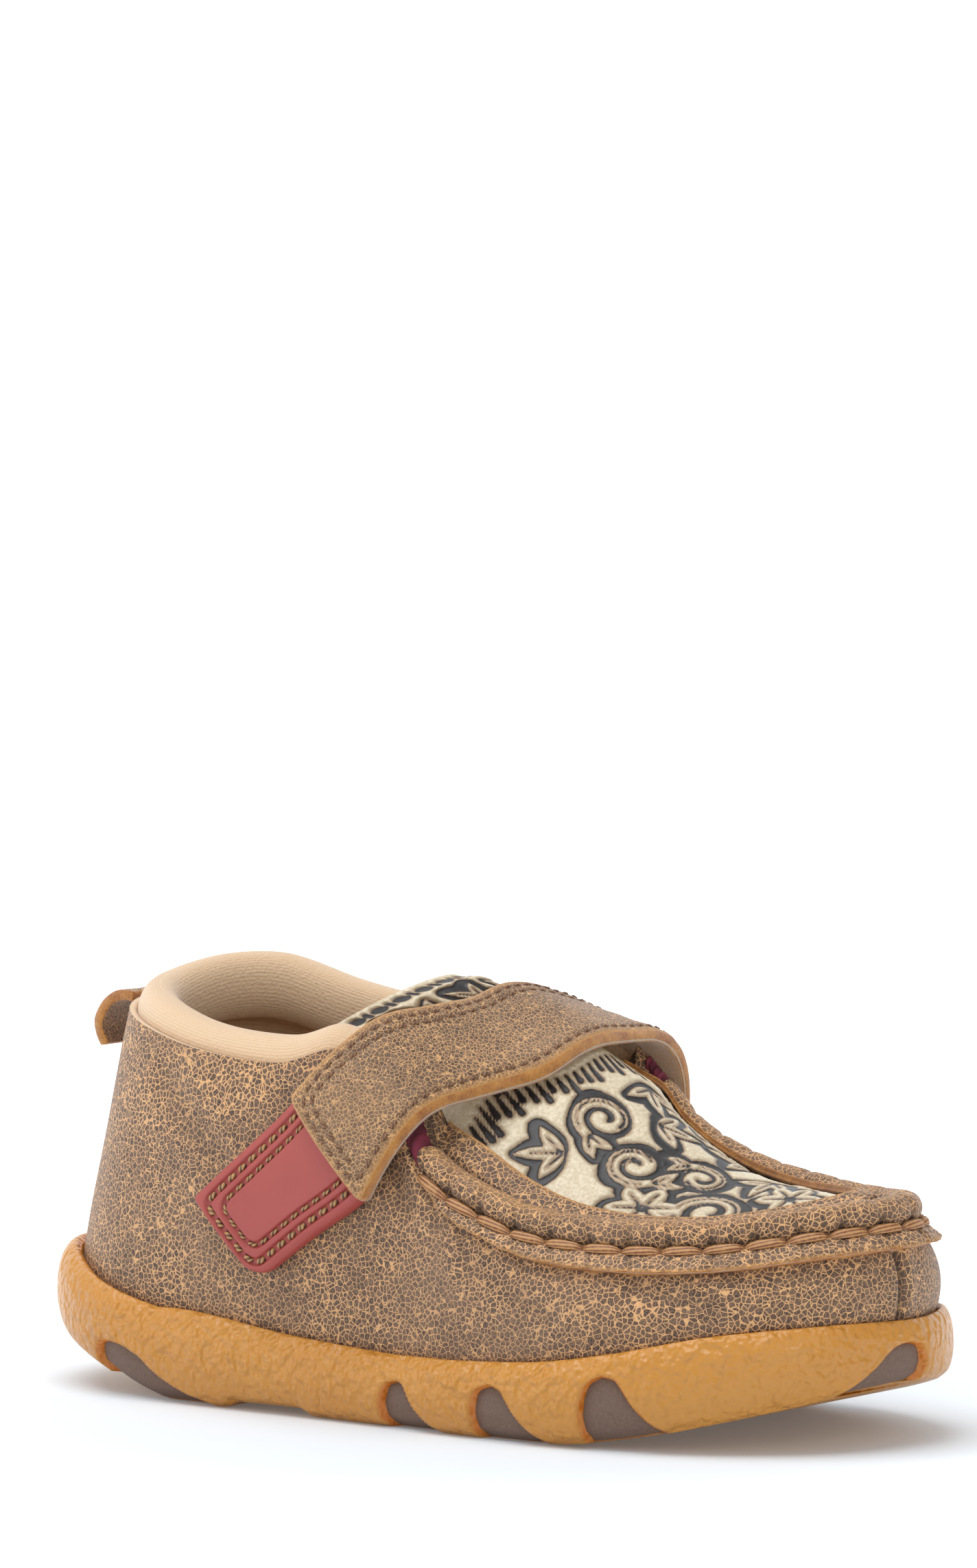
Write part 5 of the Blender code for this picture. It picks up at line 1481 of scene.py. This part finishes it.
# %% [markdown]
# ## Strap
# The strap is a band of the same hide, cut raw, lined and sewn double along its rear edge. It lies over the
# instep like a stretched ribbon, so across its width it is straight. Its height above the shoe is read from
# the CAD strap along lines that fan out from inside the shoe. The edge shows the hide's tan split, with a
# thin pale lining line near its foot.
# %% Surfaces laid over the shoe
# Rows: rear angle, rear x, front angle, front x
STRAP_ROWS = (
    (-92.0, -0.006, -88.0, 0.094), (-62.0, 0.004, -60.0, 0.096),
    (-31.0, 0.008, -32.0, 0.100), (0.0, -0.002, 2.0, 0.095),
    (18.0, -0.010, 26.0, 0.070), (36.0, -0.034, 50.0, 0.040), (56.5, -0.094, 79.0, -0.004),
)
END_ROWS = (
    (43.0, -0.066, 62.0, 0.006), (54.0, -0.108, 76.0, -0.016),
    (67.0, -0.168, 90.0, -0.084), (81.0, -0.228, 104.5, -0.150),
)
CHART_TRIM = (0.003, 0.02)           # rays stay this share inside the strip's ends and sides
PATH_ROWS = 160                      # points of a sewing line along the strip, across its end, and in all
PATH_COLUMNS = 60
PATH_POINTS = 420


def chart_lines(rows, place, share):
    """Angle and x of points of a strip over the shoe."""
    rear_angle, rear_x, front_angle, front_x = np.moveaxis(curve(rows, place * (len(rows) - 1)), -1, 0)
    angle = np.radians(rear_angle + (front_angle - rear_angle) * share)
    return angle, (rear_x + (front_x - rear_x) * share) * SOLE_LENGTH


def read_radii(node_name, rows, steps, columns):
    """Distances from the chart's line to the outside of a CAD strip, on a coarse grid."""
    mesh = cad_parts[node_name].data
    tree = BVHTree.FromPolygons([v.co.copy() for v in mesh.vertices], [list(p.vertices) for p in mesh.polygons])
    table = np.zeros((steps + 1, columns + 1))
    for step in range(steps + 1):
        for column in range(columns + 1):
            place, share = (min(max(value, trim), 1.0 - trim)
                            for value, trim in zip((step / steps, column / columns), CHART_TRIM))
            angle, x = chart_lines(rows, np.array(place), np.array(share))
            away = Vector((0.0, -math.sin(angle), math.cos(angle)))
            start = Vector((float(x), 0.0, CHART_HEIGHT))
            hit = tree.ray_cast(start + away * FAR, -away)[0]
            table[step, column] = (hit - start).length
    return table


def laid_strip(rows, table, lines, columns, thickness, corner_rear, corner_front):
    """Outer and inner grids of a strip with rounded corners at its lateral end."""
    place, share = np.meshgrid(np.linspace(0.0, 1.0, lines), np.linspace(0.0, 1.0, columns), indexing="ij")

    def outside(where, across, sunk):
        angle, x = chart_lines(rows, where, across)
        radius = curve(table, where * (len(table) - 1))
        spot = across * (table.shape[1] - 1)
        low = np.clip(np.floor(spot).astype(int), 0, table.shape[1] - 2)[..., None]
        near = np.take_along_axis(radius, low, -1)[..., 0]
        far = np.take_along_axis(radius, low + 1, -1)[..., 0]
        radius = near + (far - near) * (spot - low[..., 0]) - sunk
        return stacked(x, -np.sin(angle) * radius, CHART_HEIGHT + np.cos(angle) * radius)

    plain = outside(place, share, 0.0)
    lengths = summed(np.linalg.norm(np.diff(plain, axis=0), axis=-1).mean(axis=1))
    to_end = (lengths[-1] - lengths)[:, None]
    width = np.linalg.norm(plain[:, -1] - plain[:, 0], axis=-1)[:, None]

    def drawn(radius):
        reach = np.clip(radius - to_end, 0.0, radius)
        return (radius - np.sqrt(radius ** 2 - reach ** 2)) / width

    rear, front = drawn(corner_rear), drawn(corner_front)
    share = rear + share * (1.0 - rear - front)
    return outside(place, share, 0.0), outside(place, share, thickness)


# %% Edges and sewing lines of a strip
def strip_measures(grid):
    """Distances in metres of a strip's points from its rear edge, front edge and lateral end."""
    rear = lengths_along(np.swapaxes(grid, 0, 1)).T
    lengths = summed(np.linalg.norm(np.diff(grid, axis=0), axis=-1).mean(axis=1))
    return rear, rear[:, -1:] - rear, (lengths[-1] - lengths)[:, None] * np.ones((1, grid.shape[1]))


def edge_path(grid, inset, legs, start=0.0, round_steps=7):
    """Row and column places of a line on a strip, at a distance inside its edges."""
    rear, front, end = strip_measures(grid)
    rows, columns = grid.shape[:2]
    last = np.interp(-inset, -end[:, 0], np.arange(rows))
    first = start * (rows - 1)
    row_places = np.linspace(first, last, PATH_ROWS)
    near = np.rint(row_places).astype(int)
    rear_columns = np.array([np.interp(inset, rear[row], np.arange(columns)) for row in near])
    front_columns = np.array([np.interp(-inset, -front[row], np.arange(columns)) for row in near])
    across = np.linspace(rear_columns[-1], front_columns[-1], PATH_COLUMNS)
    pieces = {
        "rear": np.stack([row_places, rear_columns], axis=-1),
        "end": np.stack([np.full(PATH_COLUMNS, last), across], axis=-1)[1:-1],
        "front": np.stack([row_places, front_columns], axis=-1)[::-1],
    }
    spots = np.concatenate([pieces[leg] for leg in legs])
    steps = lengths_along(on_grid(grid, spots))
    even = np.linspace(0.0, steps[-1], PATH_POINTS)
    spots = np.stack([np.interp(even, steps, spots[:, axis]) for axis in (0, 1)], axis=-1)
    return smoothed(spots, round_steps)


def on_grid(grid, spots):
    """Values of a grid at places given in rows and columns."""
    row = np.clip(np.floor(spots[:, 0]).astype(int), 0, grid.shape[0] - 2)
    column = np.clip(np.floor(spots[:, 1]).astype(int), 0, grid.shape[1] - 2)
    down, side = (spots[:, 0] - row)[:, None], (spots[:, 1] - column)[:, None]
    high = grid[row, column] * (1.0 - side) + grid[row, column + 1] * side
    low = grid[row + 1, column] * (1.0 - side) + grid[row + 1, column + 1] * side
    return high * (1.0 - down) + low * down


def path_distance(grid, path):
    """Distance of a grid's points to a line of points."""
    flat = grid.reshape(-1, 3)
    best = np.full(len(flat), 1.0)
    for chunk in np.array_split(path[::2], 12):
        best = np.minimum(best, np.linalg.norm(flat[:, None] - chunk[None], axis=-1).min(axis=1))
    return best.reshape(grid.shape[:-1])


def outward_normals(grid):
    """Normals of a strip over the shoe, pointing away from it."""
    normals = normals_of(grid)
    centre = np.array((0.0, 0.0, CHART_HEIGHT))
    flat = (grid - centre) * np.array((0.0, 1.0, 1.0))
    return normals if (normals * flat).sum() > 0.0 else -normals


def lay(node_name, rows, table_size, grid_size, thickness, corners):
    """Outer and inner grid of a strip, its normals, and how far its points are from its nearest edge."""
    top, under = laid_strip(rows, read_radii(node_name, rows, *table_size), *grid_size, thickness, *corners)
    return top, under, outward_normals(top), np.minimum.reduce(np.broadcast_arrays(*strip_measures(top)))


# %% Build and sew the strap
STRAP_LINES = 250
STRAP_WIDE = 120
STRAP_WAVES = ((0.00016, 0.013, 8.0), (0.00007, 0.0046, 9.0))    # height, size and seed
STRAP_CORNER = 0.0012
OUTER_SEAM = 0.00135                 # both seams, from the strap's edge
INNER_SEAM = 0.00285
STITCH_GROOVE = 0.00016
GROOVE_WIDTH = 0.00045
EDGE_ROUND = 0.00038                 # how far the cut edge is rounded down, and over what width
EDGE_WIDE = 0.0006
RUBBED_EDGE = 0.00050                # how far in from the edge the leather is rubbed bare
# Painted shade along the strap's stitch grooves: how dark, and how wide.
SEAM_PAINTED_SHADE = 0.30
SEAM_PAINTED_SHADE_WIDTH = 0.00035
EDGE_LAYERS = (2, 2, 2, 2, 2, 2, 3, 2)    # materials down the cut edge: 3 is the line of lining
strap_top, strap_under, strap_normals, edge_gap = lay(
    "strap", STRAP_ROWS, (26, 4), (STRAP_LINES, STRAP_WIDE), STRAP_THICKNESS, (STRAP_CORNER, STRAP_CORNER))
seam_spots = [
    edge_path(strap_top, OUTER_SEAM, ("rear", "end", "front")),
    edge_path(strap_top, INNER_SEAM, ("rear", "end")),
]
wear = sum(height * ripple(strap_top, size, seed) for height, size, seed in STRAP_WAVES)
strap_move = wear - EDGE_ROUND * np.exp(-edge_gap / EDGE_WIDE)
seam_gaps = [path_distance(strap_top, on_grid(strap_top, spots)) for spots in seam_spots]
strap_move -= STITCH_GROOVE * sum(bell(gap, GROOVE_WIDTH) for gap in seam_gaps)
strap_face = strap_top + strap_normals * strap_move[..., None]
points, quads, zones = slab(strap_face, strap_under, len(EDGE_LAYERS), 0.00018)
zones = np.choose(zones, (0, 1) + EDGE_LAYERS)
LINING_LINE = ribbed_knit("grey_lining_cloth", "#B9AC9B", "#7E7468", 0.5)
strap = make_piece("lined_strap", points, quads, [STRAP_NUBUCK, KNIT, RAW_EDGE, LINING_LINE], zones, {
    "rub": kept_on(points, np.exp(-edge_gap / RUBBED_EDGE)),
    "painted_shade": kept_on(points, SEAM_PAINTED_SHADE * sum(bell(gap, SEAM_PAINTED_SHADE_WIDTH) for gap in seam_gaps))})
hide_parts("strap")
for number, spots in enumerate(seam_spots):
    made = sew(f"strap_stitches_{number + 1}", on_grid(strap_face, spots), on_grid(strap_normals, spots),
               FINE_THREAD, pitch=0.0021, length=0.72, width=0.00050, height=0.00036, lift=0.00010, rings=9, sides=8)

# %% [markdown]
# ## Rubber end of the strap
# The free end is a tab moulded in soft red rubber, with a raised frame between two sewn grooves. Its middle
# is plain. One low corner is rounded wide, the other is almost square.
# %% Build and sew the rubber end
def moulded_red_rubber():
    """Soft thermoplastic rubber: even matt red, faint orange-peel."""
    material, tree, shader = start_material("moulded_red_rubber", 0.50, Subsurface_Weight=0.05,
                                            Subsurface_Scale=0.0006)
    place = place_of(tree)
    tree.links.new(blend(tree, noise(tree, place, 7.0), "#9C3F3A", "#A94C45"), shader.inputs["Base Color"])
    bump(tree, shader, noise(tree, place, 0.5), 0.00004, 0.4)
    return material


END_LINES = 150
END_WIDE = 170
OUTER_GROOVE = 0.00185
INNER_GROOVE = 0.0038
GROOVE_DEPTH = 0.00055
END_START = 0.12                     # share of its length that lies under the strap
END_ROUND = 0.0004                   # how far its edge is rounded down, and over what width
END_ROUND_WIDE = 0.00035
GROOVE_WIDTHS = (0.00062, 0.00048)
END_CORNERS = (0.0008, 0.0034)       # rear and front
END_THREADS = (0.00075, 0.00055)     # thickness of the thread in each groove
end_top, end_under, end_normals, edge_gap = lay(
    "strap_end", END_ROWS, (10, 3), (END_LINES, END_WIDE), END_THICKNESS, END_CORNERS)
groove_spots = [
    edge_path(end_top, OUTER_GROOVE, ("rear", "end", "front"), END_START, 12),
    edge_path(end_top, INNER_GROOVE, ("rear", "end", "front"), END_START, 16),
]
end_move = -END_ROUND * np.exp(-edge_gap / END_ROUND_WIDE)
for spots, wide in zip(groove_spots, GROOVE_WIDTHS):
    gap = path_distance(end_top, on_grid(end_top, spots))
    end_move = end_move - GROOVE_DEPTH * (1.0 - smooth_step(0.6 * wide, 1.25 * wide, gap))
end_face = end_top + end_normals * end_move[..., None]
points, quads, zones = slab(end_face, end_under, 6, 0.00020)
RED = moulded_red_rubber()
end_piece = make_piece("rubber_strap_end", points, quads, [RED])
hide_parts("strap_end")
for number, (spots, thick) in enumerate(zip(groove_spots, END_THREADS)):
    made = sew(f"end_stitches_{number + 1}", on_grid(end_face, spots), on_grid(end_normals, spots), END_THREAD,
               pitch=0.0022, length=0.80, width=thick, height=0.8 * thick, lift=0.00018)

# %% [markdown]
# ## Pull tab
# A short loop of suede at the back of the collar helps to pull the shoe on. It arches back and down, with its
# raw orange edge towards the eye.
# %% Build the pull tab
PULL_ROWS = ((0.00, -0.02), (0.22, -0.03), (0.42, 0.08), (0.54, 0.26), (0.58, 0.44), (0.54, 0.60))
TAB_LINES = 70
TAB_WIDE = 40
TAB_TAPER = 0.25
TAB_WAVE = 0.00012
root = wall_top(np.array(0.0))
spine = through(PULL_ROWS, TAB_LINES)
slope = np.gradient(spine, axis=0)
along = unit(stacked(-slope[:, 0], 0.0, -slope[:, 1]))
tab_normal = stacked(-along[:, 2], 0.0, along[:, 0])
tab_normal = tab_normal * np.sign(tab_normal[0, 2])
taper = 1.0 - TAB_TAPER * smooth_step(0.6, 1.0, np.linspace(0.0, 1.0, TAB_LINES))
low = stacked(root[0] - GAP - spine[:, 0] * PULL_WIDTH, 0.0, root[2] - PULL_THICKNESS - spine[:, 1] * PULL_WIDTH)
widths = taper[:, None] * PULL_WIDTH * np.linspace(-0.5, 0.5, TAB_WIDE)[None]
tab_under = low[:, None] + stacked(0.0 * widths, widths, 0.0 * widths)
tab_top = tab_under + tab_normal[:, None] * PULL_THICKNESS
tab_top = tab_top + tab_normal[:, None] * (TAB_WAVE * ripple(tab_top, 0.004, 11.0))[..., None]
points, quads, zones = slab(tab_top, tab_under, 6, 0.00015)
tab = make_piece("suede_pull_tab", points, quads, [STRAP_NUBUCK, STRAP_NUBUCK, RAW_EDGE], np.minimum(zones, 2))
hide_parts("pull_tab")
